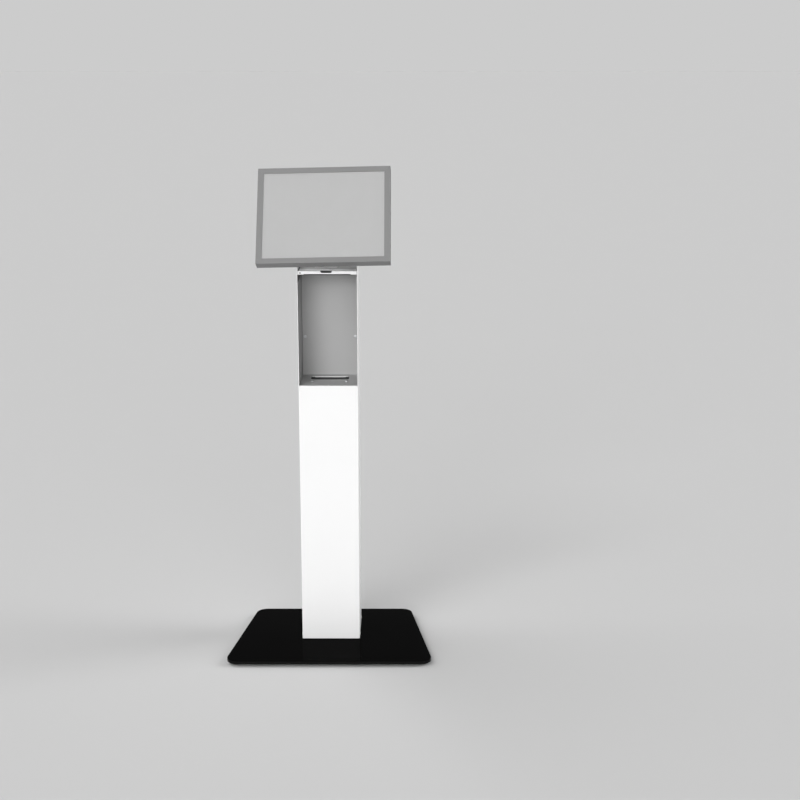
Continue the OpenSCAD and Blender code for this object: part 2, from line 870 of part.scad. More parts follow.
module neck_bracket() {
    color([0.94, 0.94, 0.94])
        in_column()
            translate([neck_shift, neck_center_y, top_plate_z])
                difference() {
                    union() {
                        translate([-neck_w / 2, -neck_foot_d / 2, 0])
                            cube([neck_w, neck_foot_d, bracket_t]);
                        for (x = [-1, 1])
                            translate([x * (neck_w - bracket_t) / 2 - bracket_t / 2, 0, 0])
                                rotate([90, 0, 90])
                                    linear_extrude(bracket_t)
                                        cheek_outline();
                    }
                    translate([-neck_w, 0, pivot_rise])
                        rotate([0, 90, 0])
                            cylinder(r = pin_d / 2 + thread_fit, h = 2 * neck_w);
                    translate([0, 0, -eps])
                        cylinder(r = neck_cable_hole_r, h = bracket_t + 2 * eps);
                    for (x = [-1, 1], y = [-1, 1])
                        translate([x * neck_bolt_x, y * neck_bolt_y, -eps])
                            cylinder(r = m6[0] + hole_fit, h = bracket_t + 2 * eps);
                }
}

neck_bolt_l = bracket_t + sheet_t + nut_washer_t + m6_nut_h + bolt_end;

module neck_bolts() {
    color([0.75, 0.75, 0.77])
        in_column()
            translate([neck_shift, 0, top_plate_z + bracket_t])
                at_neck_bolts()
                    pan_screw(m6, neck_bolt_l);
}

module neck_washers() {
    color([0.75, 0.75, 0.77])
        in_column()
            translate([neck_shift, 0, top_plate_z - sheet_t - nut_washer_t])
                at_neck_bolts()
                    ring(2 * m6[0], m6[0] + hole_fit, nut_washer_t);
}

module neck_nuts() {
    color([0.75, 0.75, 0.77])
        in_column()
            translate([neck_shift, 0, top_plate_z - sheet_t - nut_washer_t - m6_nut_h])
                at_neck_bolts()
                    hex_nut(m6_nut_w, m6_nut_h, m6[0] + thread_fit);
}

module tilt_pin() {
    thread_l = nut_washer_t + m8_nut_h + bolt_end;
    color([0.7, 0.7, 0.72])
        in_tilt()
            rotate([0, 90, 0]) {
                translate([0, 0, -neck_w / 2 - thread_l])
                    cylinder(d = pin_d, h = neck_w + thread_l);
                translate([0, 0, neck_w / 2])
                    cylinder(r = pin_head_r, h = tilt_pin_head_h);
            }
}

module tilt_washers() {
    color([0.2, 0.2, 0.2])
        in_tilt()
            for (x = [-neck_gap / 2, neck_gap / 2 - washer_t])
                translate([x, 0, 0])
                    rotate([0, 90, 0])
                        ring(friction_r, pin_d / 2 + run_fit, washer_t);
}

module tilt_nut() {
    color([0.75, 0.75, 0.77])
        in_tilt()
            translate([-neck_w / 2, 0, 0])
                rotate([0, -90, 0]) {
                    ring(pin_d, pin_d / 2 + thread_fit, nut_washer_t);
                    translate([0, 0, nut_washer_t])
                        hex_nut(m8_nut_w, m8_nut_h, pin_d / 2 + thread_fit);
                }
}

module tilt_block() {
    color([0.6, 0.61, 0.62])
        in_tilt()
            difference() {
                union() {
                    translate([-block_w / 2, 0, 0])
                        rotate([0, 90, 0])
                            cylinder(r = block_r, h = block_w);
                    translate([-block_w / 2, -block_front, -block_h / 2])
                        cube([block_w, block_front, block_h]);
                }
                translate([-block_w, 0, 0])
                    rotate([0, 90, 0])
                        cylinder(r = pin_d / 2 + run_fit, h = 2 * block_w);
                translate([0, -swivel_forward, -block_h])
                    cylinder(r = pin_d / 2 + run_fit, h = 2 * block_h);
            }
}

swivel_reach = block_h / 2 + washer_t + bracket_t;

module swivel_pin() {
    color([0.7, 0.7, 0.72])
        in_head()
            translate([0, -swivel_forward, 0]) {
                translate([0, 0, -swivel_reach - m8_nut_h - bolt_end])
                    cylinder(d = pin_d, h = 2 * swivel_reach + m8_nut_h + bolt_end);
                translate([0, 0, swivel_reach])
                    cylinder(r = pin_head_r, h = swivel_pin_head_h);
            }
}

module swivel_washers() {
    color([0.2, 0.2, 0.2])
        in_head()
            for (z = [-block_h / 2 - washer_t, block_h / 2])
                translate([0, -swivel_forward, z])
                    ring(ear_nose_r - friction_inset, pin_d / 2 + run_fit, washer_t);
}

module swivel_nut() {
    color([0.75, 0.75, 0.77])
        in_head()
            translate([0, -swivel_forward, -swivel_reach - m8_nut_h])
                hex_nut(m8_nut_w, m8_nut_h, pin_d / 2 + thread_fit);
}

module at_vesa() {
    for (x = [-1, 1], z = [-1, 1])
        translate([x * vesa_spacing / 2, 0, z * vesa_spacing / 2])
            children();
}

module ear_outline() {
    circle(r = ear_nose_r);
    translate([-ear_nose_r, -head_gap + swivel_forward + bracket_t])
        square([2 * ear_nose_r, head_gap - swivel_forward - bracket_t]);
    translate([-ear_w / 2, -head_gap + swivel_forward])
        square([ear_w, 2 * bracket_t]);
}

module head_bracket() {
    color([0.55, 0.56, 0.57])
        in_head()
            difference() {
                union() {
                    translate([-plate_side / 2, -head_gap, -plate_side / 2])
                        cube([plate_side, bracket_t, plate_side]);
                    for (z = [-swivel_reach, swivel_reach - bracket_t])
                        translate([0, -swivel_forward, z])
                            linear_extrude(bracket_t)
                                ear_outline();
                }
                translate([0, -swivel_forward, -2 * swivel_reach])
                    cylinder(r = pin_d / 2 + thread_fit, h = 4 * swivel_reach);
                at_vesa()
                    translate([0, -head_gap - eps, 0])
                        rotate([-90, 0, 0])
                            cylinder(r = m4[0] + hole_fit, h = bracket_t + 2 * eps);
            }
}

vesa_thread_l = 6;
vesa_screw_l = bracket_t + head_sheet_t + vesa_thread_l;

module vesa_screws() {
    color([0.75, 0.75, 0.77])
        in_head()
            at_vesa()
                translate([0, -head_gap + bracket_t, 0])
                    rotate([-90, 0, 0])
                        pan_screw(m4, vesa_screw_l);
}

// Head
// Three screws along the head's top edge and two down each side
module at_bezel_screws() {
    for (x = [-1, 0, 1])
        translate([x * bezel_screw_x, bezel_screw_y, head_lift + head_h / 2])
            children();
    for (x = [-1, 1], z = [-bezel_screw_z, 0])
        translate([x * head_w / 2, bezel_screw_y, head_lift + z])
            rotate([0, x * 90, 0])
                children();
}

module rear_shell() {
    wall_l = shell_back_y - shell_front_y;
    color([0.62, 0.63, 0.64])
        in_head()
            difference() {
                head_sheet(shell_front_y, wall_l)
                    square([head_w, head_h], center = true);
                head_sheet(shell_front_y - eps, wall_l - head_sheet_t + eps)
                    square([head_w - 2 * head_sheet_t, head_h - 2 * head_sheet_t], center = true);
                at_bezel_screws()
                    flat_hole(m3, head_sheet_t + eps);
                at_vesa()
                    translate([0, shell_inner_y - eps, 0])
                        rotate([-90, 0, 0])
                            cylinder(r = m4[0] + hole_fit, h = head_sheet_t + 2 * eps);
                translate([0, shell_inner_y - eps, -head_grommet_drop])
                    rotate([-90, 0, 0])
                        cylinder(r = head_grommet_r, h = head_sheet_t + 2 * eps);
            }
}

module head_grommet() {
    color([0.06, 0.06, 0.06])
        in_head()
            translate([0, shell_inner_y, -head_grommet_drop])
                rotate([-90, 0, 0])
                    grommet(head_grommet_r, head_grommet_bore_r, head_sheet_t);
}

bezel_return_w = head_w - 2 * head_sheet_t - sheet_gap;
bezel_return_ht = head_h - 2 * head_sheet_t - sheet_gap;

module front_bezel() {
    color([0.58, 0.58, 0.58])
        in_head()
            difference() {
                union() {
                    head_sheet(head_front_y, bezel_t)
                        square([head_w, head_h], center = true);
                    head_sheet(shell_front_y, bezel_return_h)
                        difference() {
                            square([bezel_return_w, bezel_return_ht], center = true);
                            square([bezel_return_w - 2 * head_sheet_t,
                                bezel_return_ht - 2 * head_sheet_t], center = true);
                        }
                }
                head_sheet(head_front_y - eps, bezel_t + 2 * eps)
                    square([screen_w, screen_h], center = true);
                at_bezel_screws()
                    translate([0, 0, -3 * head_sheet_t])
                        cylinder(r = m3[0] + thread_fit, h = 3 * head_sheet_t);
            }
}

module bezel_screws() {
    color([0.5, 0.5, 0.5])
        in_head()
            at_bezel_screws()
                flat_screw(m3, 2 * head_sheet_t + sheet_gap / 2);
}

module tablet_tray() {
    tray_w = tablet_w - 2 * tray_margin;
    tray_h = tablet_h - 2 * tray_margin;
    color([0.7, 0.7, 0.72])
        in_head()
            difference() {
                union() {
                    head_sheet(tray_front_y, tray_t)
                        square([tray_w, tray_h], center = true);
                    at_vesa()
                        translate([0, tray_back_y - tray_t / 2, 0])
                            rotate([-90, 0, 0])
                                cylinder(r = standoff_r, h = standoff_l + tray_t / 2);
                }
                at_vesa()
                    translate([0, tray_back_y, 0])
                        rotate([-90, 0, 0])
                            cylinder(r = m4[0] + thread_fit, h = standoff_l + eps);
                translate([0, tray_front_y - eps, -head_grommet_drop])
                    rotate([-90, 0, 0])
                        cylinder(r = head_grommet_r, h = tray_t + 2 * eps);
            }
}

module tablet_pads() {
    pad_x = tablet_w / 2 - tray_margin - pad_side / 2 - pad_setback;
    pad_z = tablet_h / 2 - tray_margin - pad_side / 2 - pad_setback;
    color([0.12, 0.12, 0.12])
        in_head()
            head_sheet(tablet_back_y, pad_t)
                for (x = [-1, 1], z = [-1, 1])
                    translate([x * pad_x, z * pad_z])
                        square(pad_side, center = true);
}

// Tablet
module at_power_button() {
    translate([power_x, button_mid_y, head_lift + tablet_h / 2])
        children();
}

module at_volume_button(side) {
    translate([tablet_w / 2, button_mid_y, head_lift + volume_z + side * volume_pitch / 2])
        rotate([0, 90, 0])
            children();
}

// A button along x that faces +z and stands proud of z = 0 by its travel
module edge_button(w) {
    translate([-w / 2, -button_h / 2, -tablet_wall])
        cube([w, button_h, tablet_wall + button_travel]);
    translate([-w / 2 - button_lip, -button_h / 2 - button_lip / 2, -tablet_wall - button_lip_t])
        cube([w + 2 * button_lip, button_h + button_lip, button_lip_t]);
}

module edge_button_hole(w) {
    translate([-w / 2 - button_fit, -button_h / 2 - button_fit, -tablet_wall - eps])
        cube([w + 2 * button_fit, button_h + 2 * button_fit, tablet_wall + 2 * eps]);
}

module tablet_body() {
    color([0.72, 0.73, 0.74])
        in_head()
            difference() {
                head_sheet(tablet_front_y, tablet_t)
                    rounded_rect(tablet_w, tablet_h, tablet_corner_r);
                head_sheet(tablet_front_y - eps, tablet_t - tablet_floor + eps)
                    rounded_rect(pocket_w, pocket_h, tablet_corner_r - tablet_wall);
                at_power_button()
                    edge_button_hole(power_w);
                for (side = [-1, 1])
                    at_volume_button(side)
                        edge_button_hole(volume_w);
            }
}

module tablet_battery() {
    color([0.15, 0.15, 0.16])
        in_head()
            translate([-pocket_w / 2 + battery_side_gap, tablet_back_y - tablet_floor - battery_t,
                head_lift - battery_h / 2])
                cube([battery_w, battery_t, battery_h]);
}

module tablet_board() {
    color([0.1, 0.3, 0.16])
        in_head()
            translate([pocket_w / 2 - board_w - board_side_gap, tablet_back_y - tablet_floor - board_t,
                head_lift - board_h / 2])
                cube([board_w, board_t, board_h]);
}

module display_panel() {
    color([0.75, 0.75, 0.76])
        in_head()
            head_sheet(tablet_front_y, panel_t)
                square([screen_w + 2 * panel_border, screen_h + 2 * panel_border], center = true);
}

module cover_glass() {
    color([0.8, 0.82, 0.84])
        in_head()
            head_sheet(glass_y, glass_t)
                rounded_rect(tablet_w - 2 * glass_setback, tablet_h - 2 * glass_setback,
                    tablet_corner_r - glass_setback);
}

module power_button() {
    color([0.7, 0.7, 0.72])
        in_head()
            at_power_button()
                edge_button(power_w);
}

module volume_up_button() {
    color([0.7, 0.7, 0.72])
        in_head()
            at_volume_button(1)
                edge_button(volume_w);
}

module volume_down_button() {
    color([0.7, 0.7, 0.72])
        in_head()
            at_volume_button(-1)
                edge_button(volume_w);
}

base_plate();
rubber_feet();
foot_screws();
foot_bracket();
base_bolts();
base_washers();
base_nuts();
column_shell();
column_foot_screws();
rear_cover();
rear_cover_screws();
cable_grommet();
niche_shelf();
shelf_rail();
shelf_screws();
niche_back_panel();
niche_back_screws();
top_plate();
neck_bracket();
neck_bolts();
neck_washers();
neck_nuts();
tilt_pin();
tilt_washers();
tilt_nut();
tilt_block();
swivel_pin();
swivel_washers();
swivel_nut();
head_bracket();
vesa_screws();
rear_shell();
head_grommet();
front_bezel();
bezel_screws();
tablet_tray();
tablet_pads();
tablet_body();
tablet_battery();
tablet_board();
display_panel();
cover_glass();
power_button();
volume_up_button();
volume_down_button();
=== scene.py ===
import json
import math

import bmesh
import bpy
from mathutils import Matrix, Vector

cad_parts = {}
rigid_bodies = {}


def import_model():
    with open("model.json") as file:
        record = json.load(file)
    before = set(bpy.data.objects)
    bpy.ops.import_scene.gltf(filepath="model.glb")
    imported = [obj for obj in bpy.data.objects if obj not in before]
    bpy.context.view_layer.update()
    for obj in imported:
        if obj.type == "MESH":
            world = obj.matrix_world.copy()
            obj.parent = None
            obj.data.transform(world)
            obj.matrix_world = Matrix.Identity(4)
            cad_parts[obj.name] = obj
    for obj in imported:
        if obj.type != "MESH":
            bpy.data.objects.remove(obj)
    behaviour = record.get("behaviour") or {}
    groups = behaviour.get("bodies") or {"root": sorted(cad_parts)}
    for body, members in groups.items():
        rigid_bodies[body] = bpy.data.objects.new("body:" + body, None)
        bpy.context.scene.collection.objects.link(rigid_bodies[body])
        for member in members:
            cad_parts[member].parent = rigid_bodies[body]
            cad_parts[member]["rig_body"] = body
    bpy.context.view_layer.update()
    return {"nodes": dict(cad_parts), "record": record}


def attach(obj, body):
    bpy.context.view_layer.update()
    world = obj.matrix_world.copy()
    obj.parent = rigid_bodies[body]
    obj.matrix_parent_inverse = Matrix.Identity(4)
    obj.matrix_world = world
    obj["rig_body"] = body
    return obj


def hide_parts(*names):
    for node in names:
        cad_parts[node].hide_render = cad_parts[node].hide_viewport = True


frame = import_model()
nodes = frame["nodes"]
MM = 0.001

# Levels that were set against the photograph
SCREEN_GLOW = 0.66
GLASS_ALPHA = 0.06
WHITE_LEVEL = 0.86
HEAD_GREY = 0.205
# Painted shade: the grey level of the niche's and column's insides
NICHE_SHADE_LEVEL = 0.44
# Painted light: the level of the lighter strip on the top plate behind the lip
LIT_STRIP_LEVEL = 0.74
# How much of the niche's tone is kept where deeper painted shade darkens it, under its floor, behind its
# back panel and at its top
DEEP_SHADE_SHARE = 0.3

# Heights, depths and widths of the column that the painted shade and painted light follow
NICHE_FLOOR = 611.5 * MM
NICHE_BACK = 88 * MM
NICHE_HEAD = 840.5 * MM
CUTOUT_LIP = 2.9 * MM
HALF_SHEET = 0.75 * MM
SLOT_REACH = 10 * MM
LIP_BEND = 3.4 * MM
TOP_PLATE = 866.5 * MM
COLUMN_HALF = 66 * MM
COLUMN_FRONT = -31 * MM
# The painted light strip behind the lip ends this far from the column's front, after it fades over a shorter
# way
LIT_STRIP_REACH = 36 * MM
LIT_STRIP_FADE = 8 * MM

# Noise is mostly between these two, which between() spreads to the full range
NOISE_LOW = 0.3
NOISE_HIGH = 0.7
CLOUD_SCALE = 6.0
PEEL_DETAIL = 2.0


# Node building

def calc(tree, operation, *terms):
    """A Math node's result; each term is a number or a socket"""
    node = tree.nodes.new("ShaderNodeMath")
    node.operation = operation
    for slot, term in zip(node.inputs, terms):
        if isinstance(term, (int, float)):
            slot.default_value = term
        else:
            tree.links.new(term, slot)
    return node.outputs[0]


def plus(tree, a, b):
    """The sum of two terms"""
    return calc(tree, "ADD", a, b)


def less(tree, a, b):
    """The first term without the second"""
    return calc(tree, "SUBTRACT", a, b)


def times(tree, a, b):
    """The product of two terms"""
    return calc(tree, "MULTIPLY", a, b)


def shader_tree(name):
    """A new material, with its Principled shader and its Object coordinates"""
    material = bpy.data.materials.new(name)
    material.use_nodes = True
    tree = material.node_tree
    place = tree.nodes.new("ShaderNodeTexCoord").outputs["Object"]
    return material, tree, tree.nodes["Principled BSDF"], place


def grain(tree, place, scale, detail=3.0, stretch=(1, 1, 1)):
    """Noise from 0 to 1 whose lumps are about 1/scale metres wide"""
    mapping = tree.nodes.new("ShaderNodeMapping")
    mapping.inputs["Scale"].default_value = stretch
    noise = tree.nodes.new("ShaderNodeTexNoise")
    noise.inputs["Scale"].default_value = scale
    noise.inputs["Detail"].default_value = detail
    tree.links.new(place, mapping.inputs["Vector"])
    tree.links.new(mapping.outputs["Vector"], noise.inputs["Vector"])
    return noise.outputs["Fac"]


def between(tree, amount, low, high):
    """Two values or two colours, mixed by a 0 to 1 amount that is spread to the full range"""
    spread = tree.nodes.new("ShaderNodeMapRange")
    spread.inputs["From Min"].default_value = NOISE_LOW
    spread.inputs["From Max"].default_value = NOISE_HIGH
    tree.links.new(amount, spread.inputs["Value"])
    # A Mix node has sockets of its own for numbers and for colours
    mix = tree.nodes.new("ShaderNodeMix")
    if isinstance(low, tuple):
        mix.data_type = "RGBA"
        ends = (mix.inputs[6], mix.inputs[7], mix.outputs[2])
        low, high = (*low, 1), (*high, 1)
    else:
        ends = (mix.inputs[2], mix.inputs[3], mix.outputs[0])
    ends[0].default_value = low
    ends[1].default_value = high
    tree.links.new(spread.outputs["Result"], mix.inputs[0])
    return ends[2]


def vary(tree, shader, label, amount, low, high):
    """One of the shader's inputs, varied between two values or colours by an amount"""
    tree.links.new(between(tree, amount, low, high), shader.inputs[label])


def grey(level, tint=0.0):
    """A neutral colour, made cooler by a positive tint"""
    return (level * (1 - tint), level, level * (1 + tint))


def raise_surface(tree, shader, height, depth):
    """Bump on a shader, with the depth of the relief in metres"""
    bump = tree.nodes.new("ShaderNodeBump")
    bump.inputs["Distance"].default_value = depth
    bump.inputs["Strength"].default_value = 1.0
    tree.links.new(height, bump.inputs["Height"])
    tree.links.new(bump.outputs["Normal"], shader.inputs["Normal"])


# Kinds of finish

def coated(name, low, high, rough, peel_scale, peel_depth, specular=0.5):
    """Paint or powder coat: faint cloudy tone, uneven gloss and a fine orange peel"""
    material, tree, shader, place = shader_tree(name)
    peel = grain(tree, place, peel_scale, PEEL_DETAIL)
    vary(tree, shader, "Base Color", grain(tree, place, CLOUD_SCALE), low, high)
    vary(tree, shader, "Roughness", peel, *rough)
    shader.inputs["Specular IOR Level"].default_value = specular
    raise_surface(tree, shader, peel, peel_depth)
    return material


def painted_shade_coat(name, tone_spread, rough, peel_scale, peel_depth, specular):
    """Grey coat that paints the shade inside the niche and the column and the head's shadow on the top
    plate, with a painted light strip behind the lip and deeper painted shade under the floor, behind the
    back panel and at the niche's top
    """
    material, tree, shader, place = shader_tree(name)
    split = tree.nodes.new("ShaderNodeSeparateXYZ")
    tree.links.new(place, split.inputs[0])
    depth = split.outputs["Y"]
    height = split.outputs["Z"]

    # Painted shade: darker under the niche floor, behind its back panel and at the niche's top below the top
    # plate
    under_floor = calc(tree, "LESS_THAN", height, NICHE_FLOOR - CUTOUT_LIP)
    behind_back = calc(tree, "GREATER_THAN", depth, NICHE_BACK + HALF_SHEET)
    above_niche = calc(tree, "GREATER_THAN", height, NICHE_HEAD)
    below_top = calc(tree, "LESS_THAN", height, TOP_PLATE - HALF_SHEET)
    deep_shade_mask = calc(tree, "MAXIMUM", under_floor, behind_back)
    deep_shade_mask = calc(tree, "MAXIMUM", deep_shade_mask, times(tree, above_niche, below_top))
    deep_shade_factor = less(tree, 1.0, times(tree, deep_shade_mask, 1 - DEEP_SHADE_SHARE))

    # Painted light: a lighter strip on the top plate's front part, outside the head's shadow
    lit_strip = times(tree, less(tree, COLUMN_FRONT + LIT_STRIP_REACH, depth), 1 / LIT_STRIP_FADE)
    lit_strip = calc(tree, "MINIMUM", calc(tree, "MAXIMUM", lit_strip, 0.0), 1.0)
    on_top = calc(tree, "GREATER_THAN", height, TOP_PLATE - HALF_SHEET)
    lit_strip_gain = times(tree, times(tree, lit_strip, on_top), LIT_STRIP_LEVEL / NICHE_SHADE_LEVEL - 1)

    tone = between(tree, grain(tree, place, CLOUD_SCALE), NICHE_SHADE_LEVEL, NICHE_SHADE_LEVEL + tone_spread)
    tone = times(tree, tone, plus(tree, 1.0, lit_strip_gain))
    tree.links.new(times(tree, tone, deep_shade_factor), shader.inputs["Base Color"])
    peel = grain(tree, place, peel_scale, PEEL_DETAIL)
    vary(tree, shader, "Roughness", peel, *rough)
    shader.inputs["Specular IOR Level"].default_value = specular
    raise_surface(tree, shader, peel, peel_depth)
    return material


def metal(name, low, high, rough, scale, stretch=(1, 1, 1), depth=0.004 * MM, detail=4.0):
    """Bare or plated metal with a tone and gloss that follow its grain"""
    material, tree, shader, place = shader_tree(name)
    lines = grain(tree, place, scale, detail, stretch)
    vary(tree, shader, "Base Color", lines, low, high)
    vary(tree, shader, "Roughness", lines, *rough)
    shader.inputs["Metallic"].default_value = 1.0
    raise_surface(tree, shader, lines, depth)
    return material


def spangled(name, low, high, rough, crystal_scale):
    """Galvanised sheet: flat crystals, each with its own tone"""
    material, tree, shader, place = shader_tree(name)
    crystals = tree.nodes.new("ShaderNodeTexVoronoi")
    crystals.inputs["Scale"].default_value = crystal_scale
    tree.links.new(place, crystals.inputs["Vector"])
    tone = tree.nodes.new("ShaderNodeSeparateColor")
    tree.links.new(crystals.outputs["Color"], tone.inputs["Color"])
    vary(tree, shader, "Base Color", tone.outputs["Red"], low, high)
    vary(tree, shader, "Roughness", tone.outputs["Green"], *rough)
    shader.inputs["Metallic"].default_value = 1.0
    return material


def traced_board(name, dark_resist, resist, track, track_scale, track_width, rough, rough_scale, relief):
    """Circuit board: green resist with a lighter net of copper tracks under it"""
    material, tree, shader, place = shader_tree(name)
    tracks = tree.nodes.new("ShaderNodeTexBrick")
    tracks.inputs["Scale"].default_value = track_scale
    tracks.inputs["Mortar Size"].default_value = track_width
    tracks.inputs["Color1"].default_value = (*dark_resist, 1)
    tracks.inputs["Color2"].default_value = (*resist, 1)
    tracks.inputs["Mortar"].default_value = (*track, 1)
    turned = tree.nodes.new("ShaderNodeMapping")
    turned.inputs["Rotation"].default_value = (math.radians(90), 0, 0)
    tree.links.new(place, turned.inputs["Vector"])
    tree.links.new(turned.outputs["Vector"], tracks.inputs["Vector"])
    tree.links.new(tracks.outputs["Color"], shader.inputs["Base Color"])
    vary(tree, shader, "Roughness", grain(tree, place, rough_scale), *rough)
    raise_surface(tree, shader, tracks.outputs["Fac"], relief)
    return material


def blank_screen(name, glow, glow_scale, surface, surface_scale, rough, rough_scale, specular):
    """Display that is on and shows an even pale grey"""
    material, tree, shader, place = shader_tree(name)
    vary(tree, shader, "Emission Color", grain(tree, place, glow_scale), *glow)
    shader.inputs["Emission Strength"].default_value = SCREEN_GLOW
    vary(tree, shader, "Base Color", grain(tree, place, surface_scale), *surface)
    vary(tree, shader, "Roughness", grain(tree, place, rough_scale, 1.0), *rough)
    shader.inputs["Specular IOR Level"].default_value = specular
    return material


def clear_glass(name, tint, tint_scale, rough, smear_scale, specular):
    """Cover glass, almost invisible from in front, with a faint smear in its gloss"""
    material, tree, shader, place = shader_tree(name)
    vary(tree, shader, "Base Color", grain(tree, place, tint_scale), *tint)
    vary(tree, shader, "Roughness", grain(tree, place, smear_scale, 5.0), *rough)
    shader.inputs["Alpha"].default_value = GLASS_ALPHA
    shader.inputs["Specular IOR Level"].default_value = specular
    return material


# Looks: two ends of the tone and of the roughness, the fineness of the peel or grain, and its relief
coats = {
    "black_powder_coat": dict(low=grey(0.0004), high=grey(0.0010), rough=(0.03, 0.06),
                              peel_scale=900.0, peel_depth=0.0002 * MM, specular=0.0042),
    "white_powder_coat": dict(low=grey(WHITE_LEVEL), high=grey(WHITE_LEVEL + 0.01), rough=(0.40, 0.50),
                              peel_scale=800.0, peel_depth=0.01 * MM, specular=0.35),
    # Painted light: the plate's rim is lighter than its top, as where the front light falls on it
    "plate_rim_painted_light": dict(low=grey(0.0042), high=grey(0.0058), rough=(0.30, 0.40),
                       peel_scale=900.0, peel_depth=0.01 * MM, specular=0.05),
    # Painted shade: the dark far face of the slot in the lip
    "slot_painted_shade": dict(low=grey(0.008), high=grey(0.014), rough=(0.50, 0.60),
                     peel_scale=900.0, peel_depth=0.01 * MM, specular=0.05),
    "silver_grey_paint": dict(low=grey(HEAD_GREY), high=grey(HEAD_GREY + 0.008), rough=(0.42, 0.52),
                              peel_scale=1100.0, peel_depth=0.008 * MM, specular=0.3),
    "black_rubber": dict(low=grey(0.012), high=grey(0.020), rough=(0.70, 0.85),
                         peel_scale=1500.0, peel_depth=0.03 * MM, specular=0.3),
    "black_foam": dict(low=grey(0.015), high=grey(0.030), rough=(0.85, 0.95),
                       peel_scale=1800.0, peel_depth=0.2 * MM, specular=0.2),
    "friction_plastic": dict(low=grey(0.05), high=grey(0.07), rough=(0.45, 0.60),
                             peel_scale=1200.0, peel_depth=0.01 * MM),
    "battery_film": dict(low=grey(0.020), high=grey(0.028), rough=(0.30, 0.45),
                         peel_scale=60.0, peel_depth=0.15 * MM),
}
metals = {
    "zinc_steel": dict(low=grey(0.55, 0.02), high=grey(0.66, 0.02), rough=(0.24, 0.38), scale=900.0),
    "stainless_pin": dict(low=grey(0.50), high=grey(0.58), rough=(0.18, 0.28), scale=900.0,
                          stretch=(0.02, 1, 1)),
    "cast_aluminium": dict(low=grey(0.46), high=grey(0.58), rough=(0.48, 0.64), scale=700.0,
                           depth=0.05 * MM),
    "anodised_aluminium": dict(low=grey(0.58), high=grey(0.62), rough=(0.34, 0.42), scale=2600.0),
}
finishes = {name: coated(name, **look) for name, look in coats.items()}
finishes.update({name: metal(name, **look) for name, look in metals.items()})
# Painted shade: grey inside the niche, the column and the rear cover, and the head's shadow on the top plate
finishes["painted_shade_coat"] = painted_shade_coat(
    "painted_shade_coat", tone_spread=0.015, rough=(0.50, 0.62),
    peel_scale=700.0, peel_depth=0.012 * MM, specular=0.3)
finishes["galvanised_sheet"] = spangled(
    "galvanised_sheet", low=grey(0.42, 0.02), high=grey(0.62, 0.02), rough=(0.38, 0.55),
    crystal_scale=160.0)
finishes["board_resist"] = traced_board(
    "board_resist", dark_resist=(0.012, 0.09, 0.04), resist=(0.016, 0.11, 0.05), track=(0.05, 0.24, 0.10),
    track_scale=120.0, track_width=0.04, rough=(0.25, 0.45), rough_scale=500.0, relief=0.03 * MM)
finishes["blank_screen"] = blank_screen(
    "blank_screen", glow=(grey(0.30), grey(0.31)), glow_scale=9.0,
    surface=(grey(0.24), grey(0.25)), surface_scale=30.0,
    rough=(0.62, 0.70), rough_scale=2500.0, specular=0.2)
finishes["cover_glass"] = clear_glass(
    "cover_glass", tint=(grey(0.9), grey(0.95)), tint_scale=5.0,
    rough=(0.05, 0.09), smear_scale=12.0, specular=0.3)
slot_of = {part["node"]: part["material_slot"] for part in frame["record"]["subparts"]}


# Finishing helpers

# The CAD's loose triangles are joined within this distance
WELD = 0.001 * MM
# Edges flatter than the first angle are dissolved, and those steeper than the second are eased
FLAT_ANGLE = math.radians(0.5)
EDGE_ANGLE = math.radians(40)
EDGE_STEPS = 2
# Turned pieces stay crisp at edges steeper than this
CRISP_ANGLE = math.radians(32)


def in_scene(name, data):
    """A new object in the scene, for a mesh, a lamp or a camera"""
    thing = bpy.data.objects.new(name, data)
    bpy.context.scene.collection.objects.link(thing)
    return thing


def dress(piece, node):
    """A finished piece takes the node's place, body, slot and finish"""
    piece.data.materials.clear()
    piece.data.materials.append(finishes[slot_of[node]])
    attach(piece, nodes[node]["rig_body"])
    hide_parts(node)


def whole_mesh(node):
    """A merged copy of a node's loose triangles"""
    work = bmesh.new()
    work.from_mesh(nodes[node].data)
    bmesh.ops.remove_doubles(work, verts=work.verts, dist=WELD)
    return work


def baked(holder, name):
    """The evaluated holder as a plain mesh object of its own"""
    graph = bpy.context.evaluated_depsgraph_get()
    mesh = bpy.data.meshes.new_from_object(holder.evaluated_get(graph))
    holder.modifiers.clear()
    bpy.data.objects.remove(holder)
    mesh.name = name
    return in_scene(name, mesh)


def smooth(mesh):
    """Every face of a mesh is shaded smooth"""
    for face in mesh.polygons:
        face.use_smooth = True


def eased(node, width):
    """The node's own shape with its sharp edges rounded over by a small width"""
    work = whole_mesh(node)
    bmesh.ops.dissolve_limit(work, angle_limit=FLAT_ANGLE, verts=work.verts, edges=work.edges)
    mesh = bpy.data.meshes.new("eased")
    work.to_mesh(mesh)
    work.free()
    smooth(mesh)
    holder = in_scene("holder", mesh)
    bevel = holder.modifiers.new("edges", "BEVEL")
    bevel.width = width
    bevel.segments = EDGE_STEPS
    bevel.limit_method = "ANGLE"
    bevel.angle_limit = EDGE_ANGLE
    bevel.use_clamp_overlap = False
    flatten = holder.modifiers.new("flat_faces", "WEIGHTED_NORMAL")
    flatten.keep_sharp = True
    piece = baked(holder, node + "_eased")
    dress(piece, node)
    return piece


